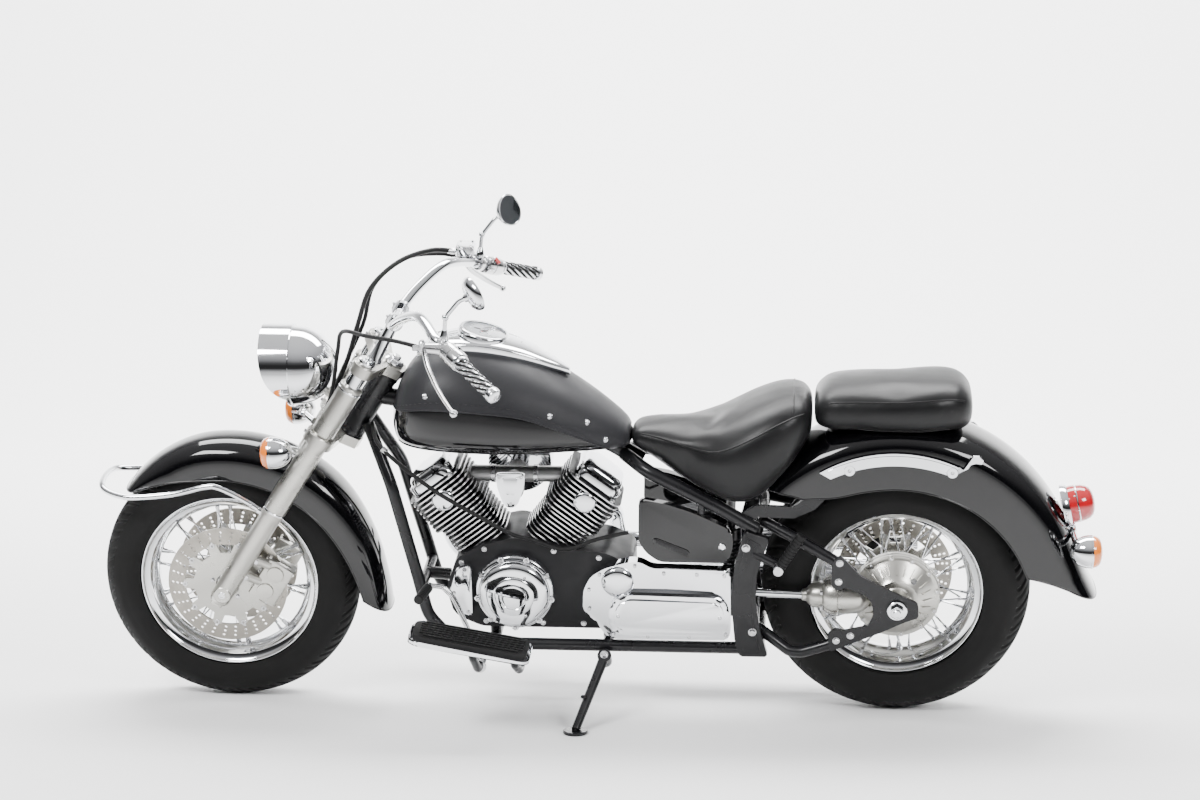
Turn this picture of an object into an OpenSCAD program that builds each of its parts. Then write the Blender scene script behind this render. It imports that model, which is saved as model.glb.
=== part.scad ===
// A shaft-drive cruiser motorcycle, leaning on its side stand.
// Every piece is drawn on the upright machine: X forward from the rear axle,
// Y to the rider's left, Z up from the floor. leaned() then tips the whole
// machine to its left about the line that both tyres stand on.

/* [Overall] */
// Distance between the two axles
wheelbase = 1645; // [1500:5:1800]
// Lean to the left on the side stand
lean_deg = 9.5; // [6:0.5:12]
// Angle of the steering axis from upright
rake_deg = 32.5; // [28:0.5:36]
// Axle's distance ahead of the steering axis
fork_offset = 58; // [45:1:70]
// Gap left between pieces that are fastened to each other
seat_gap = 0.3; // [0.2:0.1:0.5]
// Gap all round a shaft that turns in a bore
running_gap = 0.06; // [0.03:0.01:0.1]

/* [Front wheel] */
// Outer diameter of the front tyre
front_tyre_d = 640; // [600:2:680]
// Width of the front tyre
front_tyre_w = 130; // [110:2:140]
// Diameter of the front rim over its flanges
front_rim_d = 444; // [430:2:460]
// Width of the front rim over its flanges
front_rim_w = 96; // [86:2:104]
// Diameter of the front brake discs
front_disc_d = 298; // [260:2:320]
// Distance between the middles of the front discs
front_disc_gap = 134; // [124:2:140]
// Radius of the front axle
front_axle_r = 9; // [8:0.5:11]

/* [Rear wheel] */
// Outer diameter of the rear tyre
rear_tyre_d = 653; // [620:1:680]
// Width of the rear tyre
rear_tyre_w = 170; // [150:2:180]
// Diameter of the rear rim over its flanges
rear_rim_d = 420; // [400:2:440]
// Width of the rear rim over its flanges
rear_rim_w = 124; // [110:2:130]
// Diameter of the rear brake disc
rear_disc_d = 282; // [260:2:300]
// Radius of the rear axle
rear_axle_r = 10; // [9:0.5:12]

/* [Wire spokes] */
// Number of spokes in each wheel
spoke_count = 40; // [24:8:48]
// Radius of a spoke
spoke_r = 2.2; // [1.8:0.1:2.5]

/* [Fork] */
// Half the distance between the fork legs
fork_half = 113; // [111:1:120]
// Radius of a fork slider
slider_r = 26; // [22:0.5:27]
// Radius of a fork cover
fork_cover_r = 29; // [28:0.5:31]
// Length of a slider above the axle
slider_len = 272; // [240:2:300]
// Length of a cover above the axle
fork_cover_len = 640; // [620:2:650]
// Length of a fork leg above the axle
fork_len = 716; // [700:2:730]
// Radius of the steering stem
stem_r = 15; // [13:0.5:17]

/* [Handlebar] */
// Radius of the handlebar tube
bar_r = 12.7; // [11:0.1:14]
// Half the width over the grips
bar_half = 473; // [440:1:490]
// Radius of a grip
grip_r = 17; // [16:0.5:19]

/* [Fenders] */
// Radius of the front fender's crown over the axle
front_fender_r = 374; // [368:1:385]
// Half the width of the front fender
front_fender_half = 79; // [76:1:82]
// Radius of the rear fender's crown over the axle
rear_fender_r = 440; // [432:1:450]
// Half the width of the rear fender
rear_fender_half = 116; // [108:1:120]
// Thickness of the fender sheet
fender_t = 3; // [2:0.5:4]

/* [Tank] */
// Half the width of the tank at its widest
tank_half = 166; // [150:1:176]
// Thickness of the leather bib on the tank
bib_t = 4; // [3:0.5:6]

/* [Engine] */
// Angle of each cylinder from upright
cylinder_deg = 37.5; // [35:0.5:40]
// Half the length of a head fin along the machine
head_half = 78; // [70:1:82]
// Half the width of a head fin across the machine
head_side = 84; // [76:1:90]
// Half the width of the crankcase
case_half = 92; // [80:1:93]
// Radius of the round generator cover
generator_r = 84; // [76:1:90]

/* [Frame] */
// Radius of the main frame tubes
rail_r = 15; // [13:0.5:17]
// Half the distance between the lower rails
rail_half = 112; // [110:1:120]
// Height of the lower rails above the floor
rail_z = 196; // [190:1:205]

/* [Side stand] */
// Radius of the stand's leg
stand_r = 11; // [9:0.5:12]
// Distance of the foot from the machine's middle
stand_reach = 300; // [280:5:320]

/* [Hidden] */
$fn = 48;
ball_swell = 1.04;

// The row's origin, seen from the rear axle: middle of the machine's box on the floor
origin_x = 740;
origin_y = 150;

// Tyre sections: the middle of the tube, and the axle height that sets it on the floor
front_tube_r = front_tyre_w / 2;
front_ring_r = front_tyre_d / 2 - front_tube_r;
rear_tube_r = rear_tyre_w / 2;
rear_ring_r = rear_tyre_d / 2 - rear_tube_r;
front_z = front_ring_r + front_tube_r / cos(lean_deg);
rear_z = rear_ring_r + rear_tube_r / cos(lean_deg);
front_axle_pos = [wheelbase, 0, front_z];
rear_axle_pos = [0, 0, rear_z];
rim_t = 4;

// Directions along the steering axis and square to it
steer_up = [-sin(rake_deg), 0, cos(rake_deg)];
steer_out = [cos(rake_deg), 0, sin(rake_deg)];

// Heights along the steering axis, measured from the axle
lower_clamp_s = 480;
upper_clamp_s = 690;
clamp_t = 26;
tube_r = 21;
riser_y = 50;
bar_clamp = [1203, riser_y, 1001];

// Where things sit on the machine
crank = [925, 0, 335];
grip_in = [1010, bar_half - 102, 1016];
grip_out = [916, bar_half, 967];
// Point along the left grip's line, 0 at its inner end and 1 at its outer end
function along_grip(t) = grip_in + (grip_out - grip_in) * t;
bar_path = [
    [1203, 0, 1001], [1203, 62, 1001], [1203, 78, 1001], [1168, 134, 1036], [1116, 215, 1066],
    along_grip(-0.62), along_grip(-0.46), along_grip(0), along_grip(1)
];

// ---------- helpers ----------

function unit(v) = v / norm(v);

// Point on the fork: s above the axle along the legs, out ahead of the steering axis, y to the left
function on_fork(s, out, y) =
    front_axle_pos + s * steer_up + (out - fork_offset) * steer_out + [0, y, 0];

// A smooth curve through a list of points or rows, n steps to each span
function curve_at(p, i, t) =
    let (a = p[max(i - 1, 0)], b = p[i], c = p[i + 1], d = p[min(i + 2, len(p) - 1)])
    0.5 * ((2 * b) + (c - a) * t + (2 * a - 5 * b + 4 * c - d) * t * t
        + (3 * b - a - 3 * c + d) * t * t * t);
function smooth(p, n) = concat(
    [for (i = [0:len(p) - 2], k = [0:n - 1]) curve_at(p, i, k / n)], [p[len(p) - 1]]);

// Power of a sine or cosine that keeps its sign: it squares off or pinches a round
function swell(v, e) = sign(v) * pow(abs(v), e);

module leaned() {
    translate([-origin_x, -origin_y, 0]) rotate([-lean_deg, 0, 0]) children();
}

// Left and right copies of a piece
module both_sides() {
    for (side = [0, 1]) mirror([0, side, 0]) children();
}

// A round bar from a to b
module rod(a, b, r, r2 = -1) {
    d = b - a;
    translate(a) rotate([0, acos(d[2] / norm(d)), atan2(d[1], d[0])])
        cylinder(h = norm(d), r1 = r, r2 = r2 < 0 ? r : r2);
}

// A bar that bends at each point of p, where a slightly larger ball rounds it
module bent_bar(p, r) {
    for (i = [0:len(p) - 2]) rod(p[i], p[i + 1], r);
    for (i = [1:len(p) - 2]) translate(p[i]) sphere(r = r * ball_swell);
}

// A solid skinned over rings of equal length, closed at both ends
module skin(rings) {
    n = len(rings);
    m = len(rings[0]);
    points = [for (ring = rings) each ring];
    sides = [for (i = [0:n - 2], j = [0:m - 1]) each [
        [i * m + j, (i + 1) * m + j, i * m + (j + 1) % m],
        [i * m + (j + 1) % m, (i + 1) * m + j, (i + 1) * m + (j + 1) % m]]];
    start = [for (j = [0:m - 1]) j];
    end = [for (j = [m - 1:-1:0]) (n - 1) * m + j];
    polyhedron(points, concat(sides, [start, end]), convexity = 6);
}

// A sheet skinned over rings that run out along one face and back along the other
module band(rings) {
    n = len(rings);
    m = len(rings[0]);
    sides = [for (i = [0:n - 2], j = [0:m - 1]) each [
        [i * m + j, (i + 1) * m + j, i * m + (j + 1) % m],
        [i * m + (j + 1) % m, (i + 1) * m + j, (i + 1) * m + (j + 1) % m]]];
    start = [for (k = [0:m / 2 - 2]) each [[k, k + 1, m - 1 - k], [k + 1, m - 2 - k, m - 1 - k]]];
    end = [for (t = start) [for (v = [2:-1:0]) t[v] + (n - 1) * m]];
    polyhedron([for (ring = rings) each ring], concat(sides, start, end), convexity = 6);
}

// A tube of radius r swept along a smooth path
module hose(path, r, steps = 4, sides = 8, up = [0, 0, 1]) {
    p = smooth(path, steps);
    n = len(p);
    skin([for (i = [0:n - 1])
        let (t = unit(p[min(i + 1, n - 1)] - p[max(i - 1, 0)]),
             u = unit(cross(t, up)), v = cross(t, u))
        [for (k = [0:sides - 1]) p[i] + r * (cos(k * 360 / sides) * u + sin(k * 360 / sides) * v)]
    ]);
}

// A slab: an outline in X and Z, from y0 to y1
module slab(outline, y0, y1) {
    translate([0, y1, 0]) rotate([90, 0, 0]) linear_extrude(y1 - y0) polygon(outline);
}

// A disc or ring about the Y axis through pos
module wheel_turn(pos) {
    translate(pos) rotate([90, 0, 0]) rotate_extrude($fn = 96) children();
}

module axle_bar(pos, r, y0, y1) {
    translate([pos[0], y1, pos[2]]) rotate([90, 0, 0]) cylinder(h = y1 - y0, r = r);
}

// ---------- wheels ----------

// Tyre section: a round tube cut off where it sits on the rim
module tyre(pos, ring_r, tube_r, flange_r, half) {
    wheel_turn(pos) difference() {
        translate([ring_r, 0]) circle(r = tube_r, $fn = 64);
        translate([0, -tube_r]) square([flange_r - 19 + seat_gap, 2 * tube_r]);
        // room for the rim's two flanges
        for (side = [-1, 1]) polygon([[0, side * (half - 7)],
            [flange_r - 19 + seat_gap, side * (half - 7)], [flange_r - 2, side * (half - 6)],
            [flange_r + 4, side * (half - 6)], [flange_r + 4, side * 2 * tube_r],
            [0, side * 2 * tube_r]]);
        // air space behind the beads
        translate([flange_r - 20, -half + 18]) square([28, 2 * half - 36]);
    }
}

// Rim section: two flanges, two bead seats and a dropped middle, t below the bead seats
function rim_line(r, half, t) = [
    [r, half], [r - 19 - t, half - 6], [r - 21 - t, half * 0.45], [r - 32 - t, half * 0.25],
    [r - 32 - t, -half * 0.25], [r - 21 - t, -half * 0.45], [r - 19 - t, 6 - half], [r, -half]
];
module rim(pos, flange_r, half) {
    outer = rim_line(flange_r, half, 0);
    inner = rim_line(flange_r, half, rim_t);
    wheel_turn(pos) {
        polygon(concat(outer, [for (i = [6:-1:1]) inner[i]]));
        for (side = [-1, 1]) translate([flange_r, side * (half - rim_t * 0.3)])
            circle(r = 3.5, $fn = 24);
    }
}

// Crossed wire spokes from the two hub flanges to the middle of the rim
module spokes(pos, hub_r, hub_half, rim_r, wind_deg) {
    step = 360 / (spoke_count / 4);
    translate(pos) rotate([90, 0, 0])
        for (k = [0:spoke_count / 4 - 1], side = [-1, 1], turn = [-1, 1]) {
            a = k * step + (side + 1) * step / 8 + (turn + 1) * step / 4;
            b = a + turn * wind_deg;
            rod([hub_r * cos(a), hub_r * sin(a), side * (hub_half + turn * 3.2)],
                [rim_r * cos(b), rim_r * sin(b), side * (7 + turn * 3)], spoke_r);
        }
}

// A disc on its dished carrier, which bolts to the hub's end
module brake_disc(pos, d, y, carrier_in, face_y, gap) {
    side = sign(y);
    translate([pos[0], y, pos[2]]) rotate([90, 0, 0]) difference() {
        cylinder(h = 5, r = d / 2, center = true, $fn = 96);
        cylinder(h = 6, r = d / 2 - 42, center = true, $fn = 96);
    }
    translate([pos[0], y, pos[2]]) rotate([90, 0, 0]) difference() {
        cylinder(h = 7, r = d / 2 - 38, center = true, $fn = 96);
        cylinder(h = 8, r = carrier_in, center = true);
    }
    translate([pos[0], y, pos[2]]) rotate([90 * side, 0, 0]) difference() {
        cylinder(h = abs(y) - face_y - gap, r = carrier_in + 14);
        translate([0, 0, -1]) cylinder(h = abs(y) - face_y + 2, r = carrier_in);
    }
}

front_hub_half = 46;
front_flange_y = 34;
front_flange_r = 44;
front_rim_in = front_rim_d / 2 - 34;
rear_hub_half = 52;
drum_gap = 3;
rear_disc_y = rear_hub_half + 20;
rear_flange_y = 40;
rear_flange_r = 62;
rear_rim_in = rear_rim_d / 2 - 34;

module front_tyre() {
    color("#1b1b1c") tyre(front_axle_pos, front_ring_r, front_tube_r,
        front_rim_d / 2, front_rim_w / 2);
}
module front_rim() {
    color("#d9dadd") rim(front_axle_pos, front_rim_d / 2, front_rim_w / 2);
}
module front_spokes() {
    color("#c9cacc") spokes(front_axle_pos, front_flange_r - 4, front_flange_y, front_rim_in, 28);
}
module hub(pos, half, core_r, flange_y, flange_r, bore_r) {
    translate(pos) rotate([90, 0, 0]) difference() {
        union() {
            cylinder(h = 2 * half, r = core_r, center = true);
            for (side = [-1, 1]) translate([0, 0, side * flange_y])
                cylinder(h = 9, r = flange_r, center = true);
        }
        cylinder(h = 2 * half + 2, r = bore_r, center = true);
    }
}
module front_hub() {
    color("#d0d1d4") hub(front_axle_pos, front_hub_half, 32, front_flange_y, front_flange_r,
        front_axle_r + running_gap);
}
module front_discs() {
    color("#a9a59b") for (side = [-1, 1])
        brake_disc(front_axle_pos, front_disc_d, side * front_disc_gap / 2, 30,
            front_hub_half, seat_gap);
}
module rear_tyre() {
    color("#1b1b1c") tyre(rear_axle_pos, rear_ring_r, rear_tube_r,
        rear_rim_d / 2, rear_rim_w / 2);
}
module rear_rim() {
    color("#d9dadd") rim(rear_axle_pos, rear_rim_d / 2, rear_rim_w / 2);
}
module rear_spokes() {
    color("#c9cacc") spokes(rear_axle_pos, rear_flange_r - 4, rear_flange_y, rear_rim_in, 24);
}
module rear_hub() {
    color("#c4c5c8") hub(rear_axle_pos, rear_hub_half, 48, rear_flange_y, rear_flange_r,
        rear_axle_r + running_gap);
}
module rear_disc() {
    color("#a9a59b") brake_disc(rear_axle_pos, rear_disc_d, -rear_disc_y, 46,
        rear_hub_half, seat_gap);
}

// ---------- axles, fork and steering ----------

module front_axle() {
    color("#b9babd") {
        axle_bar(front_axle_pos, front_axle_r, -fork_half - slider_r - 2, fork_half + slider_r + 2);
        both_sides() axle_bar(front_axle_pos, front_axle_r + 7, front_hub_half + 1,
            fork_half - slider_r - seat_gap);
    }
}

fender_boss_s = 296;
// Room for both fork legs, r round each
module fork_room(r, s0, s1) {
    for (side = [-1, 1])
        rod(on_fork(s0, fork_offset, side * fork_half), on_fork(s1, fork_offset, side * fork_half), r);
}
module fork_legs() {
    color("#d8d4cb") both_sides() difference() {
        union() {
            rod(on_fork(-30, fork_offset, fork_half), on_fork(slider_len, fork_offset, fork_half),
                slider_r);
            rod(on_fork(slider_len - 20, fork_offset, fork_half),
                on_fork(fork_cover_len, fork_offset, fork_half), fork_cover_r);
            rod(on_fork(fork_cover_len - 1, fork_offset, fork_half),
                on_fork(fork_len, fork_offset, fork_half), tube_r);
            // boss that the front fender is bolted to
            rod(on_fork(fender_boss_s, fork_offset, front_fender_half + seat_gap),
                on_fork(fender_boss_s, fork_offset, fork_half - 10), 12);
        }
        axle_bar(front_axle_pos, front_axle_r + seat_gap, 0, 2 * fork_half);
    }
}

// A plate across the fork: a stretched hexagon about the stem, with clamp eyes for the legs
nose_out = 62;
module yoke(s, t, eye_r) {
    up = steer_up;
    difference() {
        union() {
            rod(on_fork(s - t / 2, 0, 0), on_fork(s + t / 2, 0, 0), stem_r + 22);
            for (side = [-1, 1]) {
                rod(on_fork(s - t / 2, fork_offset, side * fork_half),
                    on_fork(s + t / 2, fork_offset, side * fork_half), eye_r + 9);
                multmatrix([
                    [steer_out[0], 0, up[0], front_axle_pos[0] + s * up[0] - fork_offset * steer_out[0]],
                    [0, 1, 0, 0],
                    [steer_out[2], 0, up[2], front_axle_pos[2] + s * up[2] - fork_offset * steer_out[2]],
                    [0, 0, 0, 1]])
                    linear_extrude(t, center = true)
                    polygon([[-24, 0], [nose_out, 0], [fork_offset + 26, side * (fork_half - 14)],
                        [fork_offset - 30, side * (fork_half - 6)], [-24, side * 22]]);
            }
        }
        for (side = [-1, 1])
            rod(on_fork(s - t, fork_offset, side * fork_half),
                on_fork(s + t, fork_offset, side * fork_half), eye_r + seat_gap);
    }
}

module triple_clamps() {
    color("#b5b6b8") {
        yoke(lower_clamp_s, clamp_t, fork_cover_r);
        yoke(upper_clamp_s, clamp_t, tube_r);
        rod(on_fork(lower_clamp_s, 0, 0), on_fork(upper_clamp_s + 24, 0, 0), stem_r);
        // risers with the clamps that hold the handlebar
        both_sides() difference() {
            union() {
                rod(on_fork(upper_clamp_s, fork_offset - 14, riser_y), bar_clamp, 16, 14);
                translate(bar_clamp) rotate([90, 0, 0])
                    cylinder(h = 18, r = bar_r + 9, center = true);
            }
            translate(bar_clamp) rotate([90, 0, 0])
                cylinder(h = 90, r = bar_r + seat_gap, center = true);
        }
    }
}

module handlebar() {
    color("#dcdde0") {
        hose(concat([for (i = [len(bar_path) - 1:-1:1]) [bar_path[i][0], -bar_path[i][1], bar_path[i][2]]],
            bar_path), bar_r, 3, 12);
    }
}

function bar_point(t, side) = let (p = along_grip(t)) [p[0], side * p[1], p[2]];

module grips() {
    color("#28282a") for (side = [-1, 1]) difference() {
        rod(bar_point(0.12, side), bar_point(1.04, side), grip_r);
        rod(bar_point(0, side), bar_point(1.01, side), bar_r + seat_gap);
    }
}

// Where the left or right lever's perch ends, and where its cable starts
function perch_end(side) = bar_point(-0.3, side) + [52, side * 20, 10];
function cable_start(side) = perch_end(side) + 3.4 * unit([52, side * 20, 10]);

// Switch pods, reservoirs and the two levers, each side one casting on the bar
module hand_controls() {
    color("#cfd0d3") for (side = [-1, 1]) difference() {
        union() {
            rod(bar_point(-0.28, side), bar_point(0.08, side), 23);
            rod(bar_point(-0.42, side), bar_point(-0.3, side), 18);
            rod(bar_point(-0.3, side), perch_end(side), 15);
            if (side < 0) translate(bar_point(-0.38, side) + [33, 0, 38])
                cube([46, 62, 26], center = true);
            bent_bar([perch_end(side) - [2, side * 2, 0],
                bar_point(-0.02, side) + [64, side * 16, -12],
                bar_point(0.5, side) + [74, side * 22, -38],
                bar_point(0.95, side) + [86, side * 10, -44]], 7);
        }
        rod(bar_point(-0.9, side), bar_point(0.4, side), bar_r + seat_gap);
    }
}

mirror_foot = along_grip(-0.36) + [0, 0, 20];
mirror_pos = [965, 352, 1168];
module mirrors() {
    color("#dcdde0") both_sides() {
        bent_bar([mirror_foot, mirror_foot + [-6, 6, 54], mirror_pos + [40, -6, -20],
            mirror_pos + [15, 8, -6]], 5);
        translate(mirror_pos) rotate([0, 108, 30]) cylinder(h = 22, r1 = 46, r2 = 30);
    }
}

headlight_pos = [1462, 0, 873];
headlight_r = 98;
lamp_out = 49;
module headlight() {
    color("#dcdde0") translate(headlight_pos) rotate([0, 90, 0]) rotate_extrude()
        polygon(concat(
            [[0, 14], [headlight_r - 8, 12], [headlight_r, 6], [headlight_r + 3, 0]],
            [for (a = [0:15:90]) [(headlight_r - 2) * cos(a), -6 - 100 * sin(a)]]));
    color("#dcdde0") difference() {
        translate(headlight_pos) rotate([0, 90, 0]) difference() {
            cylinder(h = 72, r = headlight_r + 4);
            translate([0, 0, -1]) cylinder(h = 80, r = headlight_r + 1);
        }
        slab([[headlight_pos[0] + 8, 0], [headlight_pos[0] + 200, 0],
            [headlight_pos[0] + 200, headlight_pos[2] + 20],
            [headlight_pos[0] + 62, headlight_pos[2] + 20],
            [headlight_pos[0] + 8, headlight_pos[2] - 60]], -150, 150);
    }
    color("#b5b6b8") {
        bent_bar([on_fork(lower_clamp_s + clamp_t / 2 + seat_gap, lamp_out, 0),
            on_fork(lower_clamp_s + clamp_t / 2 + 50, lamp_out, 0), [1400, 0, 822]], 11);
    }
}

signal_r = 39;
signal_body = [[0, 0], [12, 2], [26, 12], [36, 30], [39, 44], [39, 58], [34, 68], [20, 75], [0, 77]];
module turn_signal(pos, yaw) {
    translate(pos) rotate([0, 90, yaw]) rotate_extrude() polygon(signal_body);
}
module front_turn_signals() {
    color("#e08a2a") difference() {
        both_sides() {
            turn_signal([1446, 158, 704], 0);
            rod([1470, 125, 704], on_fork(lower_clamp_s - 60, fork_offset + fork_cover_r, 104), 9);
        }
        fork_room(fork_cover_r + seat_gap, 100, fork_cover_len);
    }
}

// ---------- fenders ----------

// One cross-section of a fender: crown radius rc and valance radius rv about the axle,
// drawn at angle a for the crown and b for the valance's edge
function fender_ring(pos, a, b, rc, rv, half, t, solid = false) =
    let (shoulder = max(rc - 62, rv + 8), m = 8,
        arch = [for (k = [0:2 * m]) let (q = 180 - k * 90 / m)
            [half * swell(cos(q), 0.82), shoulder + (rc - shoulder) * swell(sin(q), 0.82)]],
        inner = [for (p = arch) [p[0] * (half - t) / half, p[1] - t]],
        section = concat([[-half, rv]], arch, [[half, rv]], solid ? [] : concat(
            [[half - t, rv]], [for (i = [2 * m:-1:0]) inner[i]], [[-half + t, rv]])))
    [for (p = section)
        let (w = (rc - p[1]) / (rc - rv), q = a + (b - a) * w)
        [pos[0] + p[1] * cos(q), p[0], pos[2] + p[1] * sin(q)]];

// Crown angle, crown radius over the nominal one, valance radius, valance angle
front_fender_rows = [
    [45, -28, 322, 50], [60, -16, 302, 62], [78, -4, 282, 78], [95, 0, 278, 95],
    [115, 4, 280, 115], [136, 8, 288, 136], [158, 6, 300, 156], [174, 12, 316, 171],
    [184, 22, 330, 180], [191, 33, 342, 186]
];
rear_fender_rows = [
    [40, 0, 345, 49], [58, 0, 306, 60], [75, 0, 292, 75], [95, 0, 288, 95],
    [115, 0, 290, 115], [133, 0, 296, 132], [150, 1, 303, 147], [163, 5, 309, 157],
    [173, 20, 313, 164], [180.5, 45, 317, 168]
];

module front_fender() {
    color("#0d0d0f") band([for (row = smooth(front_fender_rows, 2))
        fender_ring(front_axle_pos, row[0], row[3], front_fender_r + row[1], row[2],
            front_fender_half, fender_t)]);
}
module rear_fender() {
    color("#0d0d0f") band([for (row = smooth(rear_fender_rows, 2))
        fender_ring(rear_axle_pos, row[0], row[3], rear_fender_r + row[1], row[2],
            rear_fender_half, fender_t)]);
}
// Everything inside the rear fender's outer face, grown by g
module rear_fender_room(g) {
    skin([for (row = smooth(rear_fender_rows, 2))
        fender_ring(rear_axle_pos, row[0], row[3], rear_fender_r + row[1] + g, row[2] - 60,
            rear_fender_half + g, fender_t, true)]);
}

guard_y = 104;
module fender_guard() {
    color("#dcdde0") difference() {
        hose([[1530, guard_y, 523], [1572, guard_y, 554], [1640, guard_y, 590],
            [1680, guard_y, 592], [1760, guard_y, 572], [1860, guard_y, 562],
            [1915, guard_y - 16, 566], [1944, 60, 574], [1952, 0, 577], [1944, -60, 574],
            [1915, -guard_y + 16, 566], [1860, -guard_y, 562], [1760, -guard_y, 572],
            [1680, -guard_y, 592], [1640, -guard_y, 590], [1572, -guard_y, 554],
            [1530, -guard_y, 523]], 7.5, 2, 10, [0.2, 0.1, 1]);
        fork_room(slider_r + seat_gap, 100, slider_len - 20 - seat_gap);
    }
}

module front_calipers() {
    color("#9b9c9e") difference() {
        both_sides() {
            translate(on_fork(72, -30, front_disc_gap / 2)) rotate([0, -rake_deg, 0])
                cube([74, 46, 108], center = true);
            for (s = [60, 110]) rod(on_fork(s, -4, front_disc_gap / 2 + 18),
                on_fork(s, fork_offset - 8, fork_half - 8), 11);
        }
        for (side = [-1, 1]) translate([wheelbase, side * front_disc_gap / 2, front_z])
            rotate([90, 0, 0]) cylinder(h = 12, r = front_disc_d / 2 + 4, center = true, $fn = 96);
        fork_room(slider_r + seat_gap, -60, slider_len);
    }
}

// ---------- frame ----------

case_z = 232;
case_nose = 1096;
peg_y = 151;

neck_low = lower_clamp_s + clamp_t / 2 + seat_gap;
neck_high = upper_clamp_s - clamp_t / 2 - seat_gap;
spine_r = 22;
spine = [[1262, 0, 800], [1050, 0, 768], [860, 0, 742], [700, 0, 690], [620, 0, 640]];
down_tube = [[1282, 28, 735], [1222, 88, 600], [1163, 98, 360], [1142, 106, 268],
    [1078, rail_half, rail_z], [318, rail_half, rail_z]];
seat_rail = [[660, 16, 662], [600, 84, 642], [426, 106, 560], [336, 116, 510]];
seat_rail_r = 17;

// The pillar that joins the seat rail to the lower rail on each side
pillar_y = rail_half + 5;
pillar_t = 22;
pillar = [[365, 512], [389, 425], [398, 333], [389, 227], [378, 184], [308, 184], [328, 255],
    [338, 334], [336, 399], [312, 476], [306, 494]];

// The swingarm's pivot, and the bracket bars under the footboards
pivot = [346, 0, 250];
bracket_x = [1000, 900];
bracket_r = 10;
board_y = 330;
board_z = 306;
board_deg = 10;
function under_board(x) = board_z + (x - 1006) * tan(board_deg) - 18 / cos(board_deg);

// Strip inside the rear fender that carries it, and its front end on the frame
stay = [[380, 545], [340, 569], [252, 567], [214, 594], [168, 642], [118, 672], [60, 690],
    [-60, 698], [-134, 674], [-126, 648], [-58, 668], [58, 662], [110, 642], [152, 614],
    [198, 562], [246, 538], [340, 540], [362, 512]];

module frame() {
    color("#141416") {
        difference() {
            union() {
                rod(on_fork(neck_low, 0, 0), on_fork(neck_high, 0, 0), stem_r + 16);
                bent_bar(spine, spine_r);
                both_sides() bent_bar(down_tube, rail_r);
            }
            rod(on_fork(neck_low - 30, 0, 0), on_fork(neck_high + 30, 0, 0), stem_r + running_gap);
        }
        both_sides() {
            bent_bar(seat_rail, seat_rail_r);
            slab(pillar, pillar_y, pillar_y + pillar_t);
            slab(stay, rear_fender_half - fender_t - 12, rear_fender_half - fender_t - seat_gap);
            // boss for the side cover, and the lug that a passenger peg folds on
            rod([470, 104, 574], [470, 104, 544.2], 9);
            rod([345, 130, 455], [290, 137, 430], 11);
            rod([284, 138, 426], [284, peg_y - seat_gap, 426], 12);
            for (x = bracket_x) {
                bent_bar([[x, rail_half, rail_z], [x, 266, rail_z],
                    [x + 6, board_y - 10, under_board(x) - 32],
                    [x, board_y - 10, under_board(x)] + 0.5 * [sin(board_deg), 0, -cos(board_deg)]],
                    bracket_r);
            }
            // engine mounts from below
            for (x = [980, 700]) rod([x, 60, rail_z], [x, 60, case_z - seat_gap], 14);
        }
        // cross tubes: under the engine, ahead of it, and under the seat
        for (x = [980, 700, 330]) rod([x, -rail_half, rail_z], [x, rail_half, rail_z], 13);
        rod([1156, -98, 334], [1156, 98, 334], 12);
        rod([1156, 0, 334], [case_nose + seat_gap, 0, 330], 15);
        rod([402, -104, 536], [402, 104, 536], 12);
        stand_lug();
    }
}

// ---------- rear end ----------

arm_r = 14;
plate_y = 156;
plate_t = 10;
// The forked plate at the axle: two lugs in front, open between them round the final drive
axle_plate = [[160, 214], [40, 266], [-20, 296], [-52, 308], [-50, 345], [-6, 365], [90, 415],
    [136, 466], [156, 448], [158, 386], [140, 374], [126, 384], [74, 362], [60, 344], [56, 312],
    [68, 284], [128, 270], [146, 276], [164, 262]];
module swingarm() {
    color("#141416") {
        both_sides() {
            bent_bar([[pivot[0], 88, pivot[2]], [300, 112, 226], [255, 142, 204], [225, 146, 204],
                [165, 150, 226], [120, 152, 246]], arm_r);
            bent_bar([[322, 88, 520], [234, 130, 488], [150, 150, 446], [104, 152, 414]], arm_r);
            difference() {
                slab(axle_plate, plate_y, plate_y + plate_t);
                axle_bar(rear_axle_pos, rear_axle_r + seat_gap, plate_y - 10, plate_y + 30);
            }
        }
        rod([pivot[0], seat_gap - pillar_y, pivot[2]], [pivot[0], pillar_y - seat_gap, pivot[2]], 15);
        rod([322, -88, 520], [322, 88, 520], 13);
        bent_bar([pivot, [354, 0, 380], [322, 0, 520]], 12);
    }
}

// The upright shock ahead of the rear tyre, from the swingarm's pivot tube to the frame
module rear_shock() {
    color("#1a1a1c") {
        bent_bar([pivot + [15.4, 0, 0], [392, 0, 250], [398, 0, 316]], 10);
        rod([398, 0, 310], [402, 0, 470], 26);
        rod([402, 0, 466], [402, 0, 524 - seat_gap], 10);
    }
}

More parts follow.
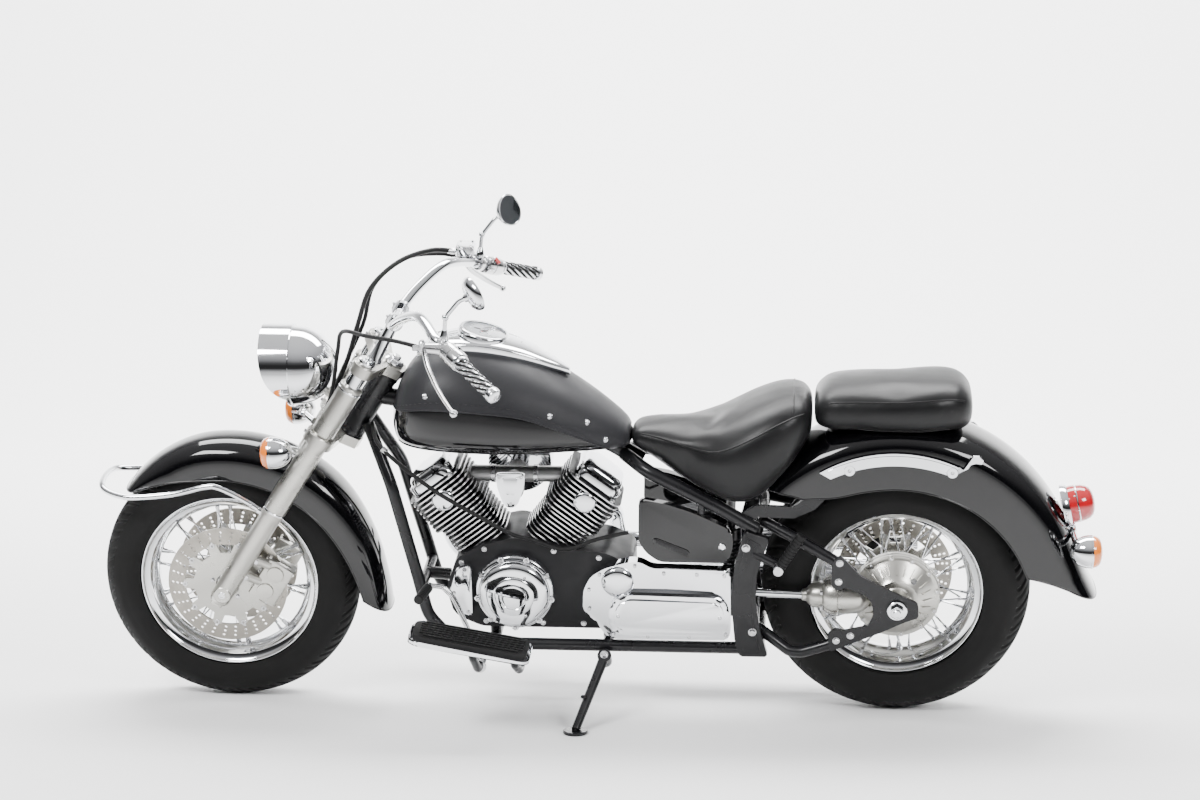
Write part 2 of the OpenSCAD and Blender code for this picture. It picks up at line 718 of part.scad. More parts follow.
drive_y = 106;
drive_z = 338;
module final_drive() {
    color("#c4c5c8") difference() {
        union() {
            rod([398 - seat_gap, drive_y, drive_z + 5], [226, drive_y, drive_z], 10.5);
            translate([228, drive_y, drive_z]) rotate([0, -90, 0]) rotate_extrude()
                polygon([[0, 0], [14, 0], [16, 11], [24, 18], [30, 26], [32, 44], [42, 54],
                    [47, 70], [49, 78], [49, 84], [45, 86], [45, 110], [44, 130], [36, 150],
                    [22, 164], [0, 168]]);
            translate([0, rear_hub_half + drum_gap, rear_z]) rotate([-90, 0, 0]) {
                cylinder(h = 27, r = 106);
                cylinder(h = 61, r1 = 96, r2 = 52);
                cylinder(h = plate_y - rear_hub_half - drum_gap - seat_gap, r = 34);
            }
        }
        axle_bar(rear_axle_pos, rear_axle_r + seat_gap, 0, 300);
    }
}

module rear_axle() {
    nut_y = plate_y + plate_t + seat_gap;
    color("#c9cacc") {
        axle_bar(rear_axle_pos, rear_axle_r, -nut_y - 8, nut_y + 26);
        for (side = [-1, 1]) translate([0, side * nut_y, rear_z])
            rotate([-90 * side, 0, 0]) cylinder(h = 8, r = 24);
        translate([0, nut_y + 7, rear_z]) rotate([-90, 0, 0]) cylinder(h = 14, r = 17, $fn = 6);
    }
}

// The rear disc's caliper, held on the right swingarm tube
module rear_caliper() {
    color("#9b9c9e") difference() {
        union() {
            translate([104, -rear_disc_y, 264]) rotate([0, 32, 0]) cube([84, 46, 58], center = true);
            rod([128, -rear_disc_y - 20, 246], [128, -137.2, 246], 12);
        }
        translate([0, -rear_disc_y, rear_z]) rotate([90, 0, 0])
            cylinder(h = 17, r = rear_disc_d / 2 + 4, center = true, $fn = 96);
    }
}

// Bolt holes in the fender rails, where a luggage rack or saddlebag is fastened
rail_bolts = [[118, 0, 668], [-124, 0, 666]];
rail_bolt_r = 4.2;
fender_rail_t = 13.7;
module fender_rails() {
    color("#d9dadd") both_sides() difference() {
        slab(concat(
            [for (a = [60:4:116]) [360 * cos(a) + 8, rear_z + 384 * sin(a)]],
            [[-184, 704], [-196, 690], [-150, 672]],
            [for (a = [112:-4:64]) [352 * cos(a) + 8, rear_z + 352 * sin(a)]]),
            rear_fender_half + seat_gap, rear_fender_half + seat_gap + fender_rail_t);
        for (hole = rail_bolts) axle_bar(hole, rail_bolt_r, rear_fender_half, rear_fender_half + 40);
    }
}

module side_covers() {
    color("#0d0d0f") both_sides()
        slab([[622, 474], [620, 582], [560, 572], [498, 552], [470, 540], [440, 526], [404, 508],
            [394, 488], [394, 462], [406, 420], [571, 420], [604, 444]], 92, 118);
}

module rear_lights() {
    color("#b3152b") difference() {
        union() {
            translate([-404, 0, 538]) rotate([0, -78, 0]) rotate_extrude()
                polygon([[0, 0], [40, 0], [46, 8], [44, 40], [36, 62], [0, 70]]);
            translate([-396, 0, 536]) rotate([0, -78, 0]) cylinder(h = 16, r = 52);
            rod([-420, 0, 470], [-420, 0, 500], 16);
        }
        rear_fender_room(seat_gap);
    }
    color("#e08a2a") difference() {
        both_sides() {
            translate([-402, 158, 484]) rotate([0, -90, 0]) rotate_extrude() polygon(signal_body);
            rod([-424, 130, 484], [-420, -1, 480], 9);
        }
        rear_fender_room(seat_gap);
    }
}

// ---------- tank and seats ----------

// X, half width, lowest, widest and highest level of the tank
tank_rows = [
    [640, 0.16, 700, 708, 716], [656, 0.36, 690, 714, 744], [700, 0.54, 684, 722, 783],
    [752, 0.69, 682, 732, 822], [817, 0.84, 680, 742, 864], [882, 0.94, 678, 748, 898],
    [947, 0.99, 676, 752, 924], [1010, 1.0, 676, 756, 938], [1075, 0.99, 678, 760, 938],
    [1130, 0.93, 680, 764, 920], [1172, 0.80, 684, 764, 884], [1200, 0.60, 692, 760, 840],
    [1216, 0.32, 712, 756, 796]
];
tank_side = 0.92;
tank_top = 0.86;

// A rounded section: half width w, lowest z0, widest zm, highest z1, drawn n points round
function body_ring(x, w, z0, zm, z1, n, side_e, top_e) =
    [for (k = [0:n - 1]) let (q = k * 360 / n, s = sin(q))
        [x, w * swell(cos(q), side_e),
            zm + (s > 0 ? (z1 - zm) : (zm - z0)) * swell(s, top_e)]];

module tank_body(grow) {
    skin([for (row = smooth(tank_rows, 2))
        body_ring(row[0], row[1] * tank_half + grow, row[2] - grow, row[3], row[4] + grow, 24,
            tank_side, tank_top)]);
}
module fuel_tank() {
    color("#0d0d0f") difference() {
        tank_body(0);
        frame_spine_room();
    }
}
// Room for the steering neck and the frame's spine, open below
module frame_spine_room() {
    rod(on_fork(neck_low, 0, 0), on_fork(neck_high + 60, 0, 0), 52);
    slab([[560, 500], [610, 668], [700, 718], [860, 769], [1050, 795], [1262, 827], [1300, 500]],
        -spine_r * ball_swell - seat_gap, spine_r * ball_swell + seat_gap);
}

// The bib: a leather skin over the tank's top, open in front and cut along a swept line
bib_line = [[1226, 786], [1188, 802], [1110, 818], [980, 812], [883, 796], [785, 752],
    [720, 716], [681, 690], [630, 660]];
module tank_bib() {
    color("#4b4b50") difference() {
        tank_body(seat_gap + bib_t);
        tank_body(seat_gap);
        slab(concat(smooth(bib_line, 2), [[600, 500], [1260, 500]]), -220, 220);
        frame_spine_room();
    }
}

module tank_console() {
    color("#dcdde0") difference() {
        skin([for (row = smooth([
                [790, 8, 856, 870, 874], [830, 30, 866, 890, 900], [900, 54, 876, 922, 936],
                [980, 68, 880, 944, 958], [1060, 66, 880, 946, 962], [1120, 50, 880, 930, 950],
                [1158, 22, 880, 905, 918]], 3))
            body_ring(row[0], row[1], row[2], row[3], row[4], 20, 0.9, 0.9)]);
        tank_body(seat_gap * 2 + bib_t);
    }
    color("#e9eaec") translate([1000, 0, 944]) rotate([0, -14, 0]) cylinder(h = 26, r = 62);
}

rider_rows = [
    [639.6, 46, 696, 716, 730], [620, 66, 688, 716, 746], [566, 90, 655, 706, 744],
    [503, 118, 612, 690, 734], [449, 150, 580, 684, 740], [404, 168, 560, 690, 762],
    [350, 172, 556, 705, 798], [296, 162, 600, 735, 824], [251, 142, 660, 760, 834],
    [224, 116, 706, 772, 826], [208, 88, 742, 778, 802]
];
pillion_rows = [
    [202, 82, 752, 790, 818], [170, 112, 742, 800, 850], [98, 124, 738, 806, 858],
    [8, 130, 736, 808, 860], [-64, 130, 736, 812, 866], [-118, 120, 738, 812, 868],
    [-152, 100, 744, 806, 856], [-171, 70, 760, 800, 830]
];
module seat_pad(rows, n) {
    p = smooth(rows, n);
    skin([for (i = [len(p) - 1:-1:0])
        body_ring(p[i][0], p[i][1], p[i][2], p[i][3], p[i][4], 20, 0.8, 0.72)]);
}
// Room for the fender's crown, the rails and the frame under a seat
module fender_room(gap) {
    translate(rear_axle_pos) rotate([90, 0, 0])
        cylinder(h = 2 * (rear_fender_half * 0.78), r = rear_fender_r + gap, center = true, $fn = 96);
    translate(rear_axle_pos) rotate([90, 0, 0])
        cylinder(h = 2 * (rear_fender_half + gap), r = rear_fender_r - 26, center = true, $fn = 96);
    translate(rear_axle_pos) rotate([90, 0, 0])
        cylinder(h = 2 * (rear_fender_half * 0.93), r = rear_fender_r - 10, center = true, $fn = 96);
}
module rider_seat() {
    color("#232326") difference() {
        seat_pad(rider_rows, 2);
        fender_room(3);
        slab([[700, 560], [700, 692], [612, 668], [426, 580], [404, 568], [340, 578],
            [150, 576], [150, 400], [700, 400]], -134, 134);
    }
}
module passenger_seat() {
    color("#232326") difference() {
        seat_pad(pillion_rows, 2);
        fender_room(1);
    }
}

// ---------- engine ----------

module crankcase() {
    color("#2a2a2c") slab([[660, case_z], [1010, case_z], [1078, 262], [case_nose, 330],
        [1070, 410], [1010, 446], [925, 468], [830, 446], [700, 430], [640, 400], [640, 250]],
        -case_half, case_half);
}

// A finned cylinder with its head and rocker cover, leaning by deg toward +X
module cylinder_bank(deg) {
    translate(crank) rotate([0, deg, 0]) {
        translate([0, 0, 118]) cylinder(h = 240, r = 52);
        for (k = [0:7]) translate([0, 0, 128 + k * 11.5]) fin(head_half - 10, head_side - 10, 3);
        for (k = [0:8]) translate([0, 0, 222 + k * 12]) fin(head_half, head_side, 3.4);
        translate([0, 0, 326]) linear_extrude(22) rocker_outline(62, 66);
        translate([0, 0, 347]) linear_extrude(16) rocker_outline(54, 56);
    }
}
module fin(x, y, t) {
    linear_extrude(t) polygon([[-x, -y + 24], [-x + 20, -y], [x - 20, -y], [x, -y + 24],
        [x, y - 24], [x - 20, y], [-x + 20, y], [-x, y - 24]]);
}
module rocker_outline(x, y) {
    polygon([[-x, -y + 16], [-x + 14, -y], [x - 14, -y], [x, -y + 16],
        [x, y - 16], [x - 14, y], [-x + 14, y], [-x, y - 16]]);
}
module front_cylinder() {
    color("#3a3a3d") difference() {
        cylinder_bank(cylinder_deg);
        slab([[400, 0], [1400, 0], [1400, 300], [1110, 300], [1070, 411], [1010, 447], [925, 469],
            [400, 469]], -200, 200);
        slab([[925, 0], [925, 800], [500, 800], [500, 0]], -200, 200);
    }
}
module rear_cylinder() {
    color("#3a3a3d") difference() {
        cylinder_bank(-cylinder_deg);
        slab([[1200, 469], [925, 469], [830, 447], [700, 431], [640, 401], [500, 300], [500, 0],
            [1200, 0]], -200, 200);
        slab([[925 - seat_gap, 0], [925 - seat_gap, 800], [1400, 800], [1400, 0]], -200, 200);
    }
}

module engine_covers() {
    color("#d9dadd") {
        // round generator cover on the left
        translate([crank[0], case_half + seat_gap, crank[2]]) rotate([-90, 0, 0]) {
            cylinder(h = 36, r = generator_r + 12);
            cylinder(h = 58, r1 = generator_r + 2, r2 = generator_r - 10);
        }
        // clutch cover on the right
        translate([crank[0] - 40, -case_half - seat_gap, crank[2]]) rotate([90, 0, 0]) {
            cylinder(h = 40, r = 104);
            cylinder(h = 54, r = 60);
        }
        // nose of the crankcase in front of the generator
        slab([[1030, 268], [1066, 282], [1084, 330], [1066, 396], [1030, 404]],
            case_half + seat_gap, case_half + 26);
        // shield over the carburettors, between the cylinders
        slab([[966, 636], [894, 636], [898, 600], [912, 560], [924, 548], [938, 548], [950, 560],
            [962, 600]], 88, 102);
    }
}

module shaft_drive_cover() {
    color("#d9dadd") {
        slab([[758, 290], [756, 348], [738, 384], [704, 406], [644, 424], [616, 424], [590, 408],
            [400, 404], [398, 250], [404, 222], [690, 220], [712, 240], [730, 280]],
            case_half + seat_gap, case_half + 40);
        slab([[696, 262], [690, 322], [660, 346], [424, 342], [402, 318], [402, 262], [424, 240],
            [670, 240]], case_half + 38, case_half + 62);
    }
}

module air_cleaner() {
    color("#dcdde0") {
        translate([930, -104, 590]) rotate([90, 0, 0]) cylinder(h = 64, r = 80);
        translate([930, -60, 590]) rotate([90, 0, 0]) cylinder(h = 46, r = 24);
    }
}
// The carburettor body in the V, with a stub into each head
module carburettors() {
    color("#6b6c70") {
        rod([930, -59.7, 590], [930, 87.7, 590], 26);
        rod([930, 0, 600], [1036, 0, 600], 20);
        rod([930, 0, 600], [814, 0, 600], 20);
    }
}

muffler_y = -218;
module exhausts() {
    color("#dcdde0") {
        hose([[1136, -46, 494], [1142, -86, 456], [1122, -134, 404], [1100, -168, 336],
            [1046, -200, 272], [940, -214, 240], [750, muffler_y, 234]], 20, 3, 10, [0, 1, 0.2]);
        difference() {
            rod([760, muffler_y, 234], [-90, muffler_y, 262], 34, 38);
            rod([500, muffler_y, 242], [-120, muffler_y, 263], 30, 34);
        }
        hose([[716, -46, 492], [694, -88, 470], [692, -140, 414], [686, -176, 370],
            [640, -206, 346], [560, muffler_y, 344]], 20, 3, 10, [0, 1, 0.2]);
        difference() {
            rod([570, muffler_y, 344], [-60, muffler_y, 366], 34, 38);
            rod([400, muffler_y, 350], [-90, muffler_y, 367], 30, 34);
        }
    }
}

// ---------- feet ----------

module footboards() {
    color("#3c3c40") both_sides()
        translate([1006, board_y, board_z]) rotate([0, -board_deg, 0]) {
            cube([290, 116, 16], center = true);
            translate([0, 6, -12]) cube([300, 112, 12], center = true);
        }
}

// The shifter and the brake pedal, each pivoting on a footboard's front bracket bar
module foot_controls() {
    color("#c9cacc") for (side = [-1, 1]) difference() {
        union() {
            rod([bracket_x[0], side * 226, rail_z], [bracket_x[0], side * 250, rail_z], 17);
            bent_bar([[bracket_x[0], side * 238, rail_z + 10], [1036, side * 241, 320],
                [1072, side * 234, 388], [1116, side * 240, 402]], 7);
            rod([1114, side * 235, 402], [1132, side * 320, 398], 12);
        }
        rod([bracket_x[0], side * 200, rail_z], [bracket_x[0], side * 262, rail_z],
            bracket_r + seat_gap);
    }
}

// Passenger pegs, folded up
module passenger_pegs() {
    color("#28282a") both_sides() {
        rod([284, peg_y, 426], [284, peg_y + 26, 426], 12);
        rod([284, peg_y + 14, 426], [228, peg_y + 18, 518], 13);
    }
}

module clutch_cable() {
    color("#1a1a1c") hose([[1269, 43.5, 737], [1236, 116, 704], [1120, 132, 610], [1000, 122, 530],
        [930, 112, 486], [880, 108, 470], [800, 106, 446], [720, 106, 474], [646, 104, 492]],
        5, 3, 8, [0, 1, 0.3]);
}

module control_cables() {
    low_s = lower_clamp_s + clamp_t / 2 + 1;
    color("#1a1a1c") {
        // brake hose from the reservoir, and the throttle cable beside it
        hose([[1105.8, -326, 1068], [1160, -292, 1080], [1232, -222, 1070], [1292, -150, 1024],
            [1318, -100, 950], [1342, -78, 870], on_fork(low_s + 50, 84, -66),
            on_fork(low_s, 78, -62)], 6, 2, 8, [0, 1, 0.3]);
        hose([cable_start(-1), [1150, -356, 1052], [1226, -276, 1062], [1290, -184, 1020],
            [1310, -120, 940], on_fork(low_s + 80, 92, -92), on_fork(low_s, 80, -88)],
            5, 2, 8, [0, 1, 0.3]);
        // clutch cable's loop from the left lever
        hose([cable_start(1), [1150, 350, 1052], [1240, 256, 1034], [1310, 156, 1010],
            [1336, 92, 940], on_fork(low_s + 80, 88, 66), on_fork(low_s, 78, 62)],
            5, 2, 8, [0, 1, 0.3]);
    }
}

// ---------- side stand ----------

stand_x = 705;
stand_y = rail_half + rail_r + 22;
stand_z = rail_z - 14;
foot_x = stand_x + 60;
foot_t = 8;
foot_z = stand_reach * tan(lean_deg) + foot_t / cos(lean_deg);
stand_axis_deg = 46;
stand_axis = [0, cos(stand_axis_deg), sin(stand_axis_deg)];
stand_pivot = [stand_x, stand_y, stand_z];

module stand_lug() {
    a = stand_axis;
    rod(stand_pivot - 30 * a, stand_pivot - 12.5 * a, 17);
    rod(stand_pivot - 30 * a, stand_pivot + 14 * a, 6);
    rod([stand_x, rail_half, rail_z - 10], stand_pivot - 22 * a, 9);
}
module side_stand() {
    a = stand_axis;
    color("#1a1a1c") {
        difference() {
            union() {
                rod(stand_pivot - 12 * a, stand_pivot + 12 * a, 17);
                rod(stand_pivot, [foot_x, stand_reach, foot_z], stand_r);
            }
            rod(stand_pivot - 16 * a, stand_pivot + 24 * a, 6 + running_gap);
        }
        translate([foot_x, stand_reach, foot_z]) rotate([lean_deg, 0, 0]) translate([0, 0, -foot_t])
            cylinder(h = foot_t, r = 30);
    }
}

// ---------- the machine ----------

leaned() {
    frame();
    swingarm();
    rear_shock();
    crankcase();
    front_cylinder();
    rear_cylinder();
    carburettors();
    engine_covers();
    shaft_drive_cover();
    air_cleaner();
    exhausts();
    final_drive();
    rear_axle();
    rear_caliper();
    fuel_tank();
    tank_bib();
    tank_console();
    rider_seat();
    passenger_seat();
    rear_fender();
    fender_rails();
    side_covers();
    rear_lights();
    footboards();
    foot_controls();
    passenger_pegs();
    clutch_cable();
    triple_clamps();
    fork_legs();
    handlebar();
    grips();
    hand_controls();
    mirrors();
    headlight();
    front_turn_signals();
    front_fender();
    fender_guard();
    front_calipers();
    front_axle();
    control_cables();
    front_tyre();
    front_rim();
    front_spokes();
    front_hub();
    front_discs();
    rear_tyre();
    rear_rim();
    rear_spokes();
    rear_hub();
    rear_disc();
    side_stand();
}
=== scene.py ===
"""Cruiser motorcycle: visual pieces built round its CAD frame.

Builders work in millimetres in the machine's upright frame (X forward from the rear axle,
Y left, Z up). UPRIGHT_TO_ROW leans the machine on its side stand and turns it to metres.
"""

from math import acos, atan2, cos, pi, radians, sin, sqrt, tan

import bmesh
import bpy
from bpy.props import FloatProperty, FloatVectorProperty, PointerProperty
from bpy.types import Operator, Panel, PropertyGroup
from mathutils import Matrix, Vector
from mathutils.bvhtree import BVHTree
from mathutils.geometry import tessellate_polygon


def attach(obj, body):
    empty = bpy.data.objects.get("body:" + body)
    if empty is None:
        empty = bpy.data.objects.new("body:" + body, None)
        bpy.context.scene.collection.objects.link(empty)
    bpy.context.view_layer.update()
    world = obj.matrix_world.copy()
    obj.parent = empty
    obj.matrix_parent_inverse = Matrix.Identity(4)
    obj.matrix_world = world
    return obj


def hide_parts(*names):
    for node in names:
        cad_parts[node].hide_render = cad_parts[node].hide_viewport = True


bl_info = {
    "name": "Cruiser motorcycle",
    "version": (1, 0, 0),
    "blender": (4, 5, 0),
    "location": "View3D > Sidebar > Cruiser",
    "description": "Builds a cruiser motorcycle round its CAD frame",
    "category": "Add Mesh",
}

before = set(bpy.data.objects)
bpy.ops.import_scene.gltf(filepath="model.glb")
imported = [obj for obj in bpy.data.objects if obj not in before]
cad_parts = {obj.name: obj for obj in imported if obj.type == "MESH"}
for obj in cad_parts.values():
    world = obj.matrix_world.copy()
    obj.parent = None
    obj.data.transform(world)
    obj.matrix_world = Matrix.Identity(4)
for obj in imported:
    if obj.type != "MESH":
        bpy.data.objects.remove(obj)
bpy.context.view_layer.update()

# ---------- the machine's own frame ----------

LEAN = radians(9.5)
UPRIGHT_TO_ROW = (Matrix.Translation((-0.740, -0.150, 0)) @ Matrix.Rotation(-LEAN, 4, 'X')
                  @ Matrix.Scale(0.001, 4))
RAKE = radians(32.5)
STEER_UP = Vector((-sin(RAKE), 0, cos(RAKE)))
STEER_OUT = Vector((cos(RAKE), 0, sin(RAKE)))
FORK_OFFSET = 58
FORK_HALF = 113
FRONT_RING, FRONT_TUBE = 255, 65
REAR_RING, REAR_TUBE = 241.5, 85
FRONT_AXLE = Vector((1645, 0, FRONT_RING + FRONT_TUBE / cos(LEAN)))
REAR_AXLE = Vector((0, 0, REAR_RING + REAR_TUBE / cos(LEAN)))
CRANK = Vector((925, 0, 335))
BAR_R = 12.7
GRIP_IN = Vector((1010, 371, 1016))
GRIP_OUT = Vector((916, 473, 967))
LOWER_YOKE, UPPER_YOKE, YOKE_T = 480, 690, 26
INTAKE_X, INTAKE_Z = 930, 590     # axis of the carburettors and the air cleaner
RAIL_Y, RAIL_Z = 112, 196         # the frame's lower rails


def on_fork(s, out, y):
    """Point s above the front axle along the fork, out ahead of the steering axis, y to the left."""
    return FRONT_AXLE + s * STEER_UP + (out - FORK_OFFSET) * STEER_OUT + Vector((0, y, 0))


def on_bar(t, side):
    """Point along a grip's line: 0 at the grip's inner end, 1 at the outer end."""
    p = GRIP_IN + (GRIP_OUT - GRIP_IN) * t
    return Vector((p.x, side * p.y, p.z))


def flip(p, side):
    return Vector((p[0], side * p[1], p[2]))


# ---------- shaping helpers ----------

def curve_at(p, i, t):
    a, b, c, d = p[max(i - 1, 0)], p[i], p[i + 1], p[min(i + 2, len(p) - 1)]
    return [0.5 * (2 * b[k] + (c[k] - a[k]) * t + (2 * a[k] - 5 * b[k] + 4 * c[k] - d[k]) * t * t
                   + (3 * b[k] - a[k] - 3 * c[k] + d[k]) * t ** 3) for k in range(len(b))]


def smooth(p, n):
    """A smooth curve through points or rows, n steps to each span."""
    rows = [curve_at(p, i, k / n) for i in range(len(p) - 1) for k in range(n)]
    return rows + [list(p[-1])]


def swell(v, e):
    return (1 if v > 0 else -1 if v < 0 else 0) * abs(v) ** e


def rounded(outline, r, n=4):
    """The outline with each corner turned into a short curve that starts r from the corner."""
    out, count = [], len(outline)
    for i, p in enumerate(outline):
        p = Vector(p)
        a, b = Vector(outline[i - 1]) - p, Vector(outline[(i + 1) % count]) - p
        ra, rb = min(r, a.length * 0.45), min(r, b.length * 0.45)
        s, e = p + a.normalized() * ra, p + b.normalized() * rb
        for k in range(n + 1):
            t = k / n
            out.append(tuple(s * (1 - t) ** 2 + p * 2 * t * (1 - t) + e * t * t))
    return out


def aim(origin, direction, side=(0, 1, 0)):
    """Matrix with its Z along direction, placed at origin."""
    z = Vector(direction).normalized()
    x = Vector(side).cross(z)
    if x.length < 1e-4:
        x = Vector((1, 0, 0)).cross(z)
    x.normalize()
    m = Matrix((x, z.cross(x), z)).transposed().to_4x4()
    m.translation = Vector(origin)
    return m


def along_y(pos):
    """Matrix whose Z is the machine's Y, placed at pos, with its X along the machine's X."""
    m = Matrix(((1, 0, 0), (0, 0, 1), (0, -1, 0))).to_4x4()
    m.translation = Vector(pos)
    return m


def rings(bm, loops, mat=0, caps=(True, True), around=True, close=False):
    """Quads between loops of equal length, with optional end caps."""
    made = [[bm.verts.new(p) for p in loop] for loop in loops]
    m = len(made[0])
    pairs = list(zip(made, made[1:])) + ([(made[-1], made[0])] if close else [])
    faces = []
    for a, b in pairs:
        for j in range(m if around else m - 1):
            k = (j + 1) % m
            faces.append(bm.faces.new((a[j], a[k], b[k], b[j])))
    if not close and around:
        for use, loop in zip(caps, (made[0], made[-1])):
            if use:
                faces.append(bm.faces.new(loop))
    for f in faces:
        f.material_index = mat
    return faces


def lathe(bm, profile, m, n=48, mat=0, close=False):
    """Turns (radius, height) points about Z of matrix m."""
    loops = []
    for r, h in profile:
        r = max(r, 0.0)
        loops.append([m @ Vector((r * cos(2 * pi * k / n), r * sin(2 * pi * k / n), h)) for k in range(n)])
    rings(bm, loops, mat, (False, False), close=close)


def tube(bm, path, r, n=14, steps=4, mat=0, up=(0, 0, 1), flat=1.0):
    """A tube along a smooth path. flat squashes it across its second direction."""
    p = [Vector(q) for q in (smooth(path, steps) if steps > 1 else path)]
    last = len(p) - 1
    u = None
    loops = []
    for i, q in enumerate(p):
        t = (p[min(i + 1, last)] - p[max(i - 1, 0)]).normalized()
        if u is None:
            u = t.cross(Vector(up))
            if u.length < 1e-3:
                u = t.cross(Vector((1, 0, 0)))
        u = (u - t * u.dot(t)).normalized()
        v = t.cross(u)
        loops.append([q + r * (cos(2 * pi * j / n) * u + flat * sin(2 * pi * j / n) * v)
                      for j in range(n)])
    rings(bm, loops, mat)
    return p


def bent(bm, path, r, n=14, mat=0, bend=0.35):
    """A bar with straight runs and rounded bends."""
    p = [Vector(q) for q in path]
    out = [p[0]]
    for i in range(1, len(p) - 1):
        a, b = p[i - 1] - p[i], p[i + 1] - p[i]
        d = min(max(r * 1.6, 8), a.length * bend, b.length * bend)
        s, e = p[i] + a.normalized() * d, p[i] + b.normalized() * d
        out += [s * (1 - t) ** 2 + p[i] * 2 * t * (1 - t) + e * t * t for t in (0, .25, .5, .75, 1)]
    out.append(p[-1])
    tube(bm, out, r, n, 1, mat)


def plate(bm, outline, holes, z0, z1, m, mat=0, bevel=0, rim_mat=None):
    """A flat plate with holes: its outline lies in XY of matrix m, from z0 to z1."""
    loops = [[Vector((p[0], p[1], 0)) for p in loop] for loop in [outline] + list(holes)]
    low = [[bm.verts.new(m @ Vector((p.x, p.y, z0))) for p in loop] for loop in loops]
    high = [[bm.verts.new(m @ Vector((p.x, p.y, z1))) for p in loop] for loop in loops]
    if holes:
        flat_low = [v for loop in low for v in loop]
        flat_high = [v for loop in high for v in loop]
        for tri in tessellate_polygon(loops):
            for flat, order in ((flat_low, tri), (flat_high, tri[::-1])):
                try:
                    bm.faces.new([flat[i] for i in order]).material_index = mat
                except ValueError:
                    pass
    else:
        bm.faces.new(low[0]).material_index = mat
        bm.faces.new(high[0]).material_index = mat
    for a, b in zip(low, high):
        for i in range(len(a)):
            k = (i + 1) % len(a)
            f = bm.faces.new((a[i], a[k], b[k], b[i]))
            f.material_index = mat if rim_mat is None else rim_mat
    if bevel and not holes:
        bm.edges.ensure_lookup_table()
        rim = [e for loop in (low[0], high[0]) for i, v in enumerate(loop)
               for e in v.link_edges if loop[(i + 1) % len(loop)] in e.verts]
        bmesh.ops.bevel(bm, geom=list(set(rim)), offset=bevel, segments=2, profile=0.6,
                        affect='EDGES', clamp_overlap=True)


def circle(n, r, start=0.0):
    """n points spread evenly round a circle of radius r, the first at start degrees."""
    turns = [radians(start + 360 * k / n) for k in range(n)]
    return [(r * cos(a), r * sin(a)) for a in turns]


def slab(bm, outline, y0, y1, mat=0, bevel=0, round_r=0, holes=(), side=1):
    """A plate with its outline in X and Z of the machine, from y0 to y1."""
    m = Matrix(((1, 0, 0), (0, 0, 1), (0, 1, 0))).to_4x4()
    if side < 0:
        y0, y1 = -y0, -y1
    pts = rounded(outline, round_r) if round_r else outline
    plate(bm, pts, holes, min(y0, y1), max(y0, y1), m, mat, bevel)


def block(bm, size, m, mat=0, bevel=3, round_r=0):
    x, y, z = size[0] / 2, size[1] / 2, size[2] / 2
    pts = rounded([(-x, -y), (x, -y), (x, y), (-x, y)], round_r or min(x, y) * 0.3)
    plate(bm, pts, [], -z, z, m, mat, bevel)


def rod(bm, a, b, r, r2=None, n=20, mat=0, edge=0.8):
    """A round bar from a to b with eased ends."""
    a, b = Vector(a), Vector(b)
    h, r2 = (b - a).length, r if r2 is None else r2
    e = min(edge, r * 0.3, h * 0.3)
    lathe(bm, [(0, 0), (r - e, 0), (r, e), (r2, h - e), (r2 - e, h), (0, h)], aim(a, b - a), n, mat)


def bolt(bm, pos, axis, r=5, h=4, mat=0):
    """A hexagon bolt head on a round washer, standing on pos."""
    m = aim(pos, axis)
    lathe(bm, [(0, -2), (r * 1.25, -2), (r * 1.25, 0.8), (0, 0.8)], m, 16, mat)
    lathe(bm, [(0, 0.8), (r, 0.8), (r, h - 0.8), (r * 0.82, h), (0, h)], m, 6, mat)


def cap_screw(bm, pos, axis, r=4.5, h=4, mat=0):
    """A round socket screw, standing on pos."""
    lathe(bm, [(0, -2), (r, -2), (r, h - 1), (r - 1, h), (r * 0.5, h), (r * 0.45, h - 1.5), (0, h - 1.5)],
          aim(pos, axis), 14, mat)


def piece(name, bm, finishes, body, nodes=(), sharp=32, tilt=True, clean=0.02):
    """Turns a builder's surfaces into one object that rides on a CAD body."""
    bmesh.ops.remove_doubles(bm, verts=bm.verts, dist=clean)
    bmesh.ops.recalc_face_normals(bm, faces=bm.faces)
    mesh = bpy.data.meshes.new(name)
    bm.to_mesh(mesh)
    bm.free()
    if tilt:
        mesh.transform(UPRIGHT_TO_ROW)
    for f in finishes:
        mesh.materials.append(finish(f))
    mesh.polygons.foreach_set("use_smooth", [True] * len(mesh.polygons))
    mesh.set_sharp_from_angle(angle=radians(sharp))
    obj = bpy.data.objects.new(name, mesh)
    bpy.context.scene.collection.objects.link(obj)
    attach(obj, body)
    if nodes:
        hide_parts(*nodes)
    return obj


# ---------- finishes ----------

def looks():
    return bpy.context.scene.cruiser_looks


def new_group(name, inputs, outputs):
    g = bpy.data.node_groups.new(name, 'ShaderNodeTree')
    for label, kind, value in inputs:
        s = g.interface.new_socket(label, in_out='INPUT', socket_type=kind)
        s.default_value = value
    for label, kind in outputs:
        g.interface.new_socket(label, in_out='OUTPUT', socket_type=kind)
    return g, g.nodes.new('NodeGroupInput'), g.nodes.new('NodeGroupOutput')


FLOAT, COLOUR = 'NodeSocketFloat', 'NodeSocketColor'


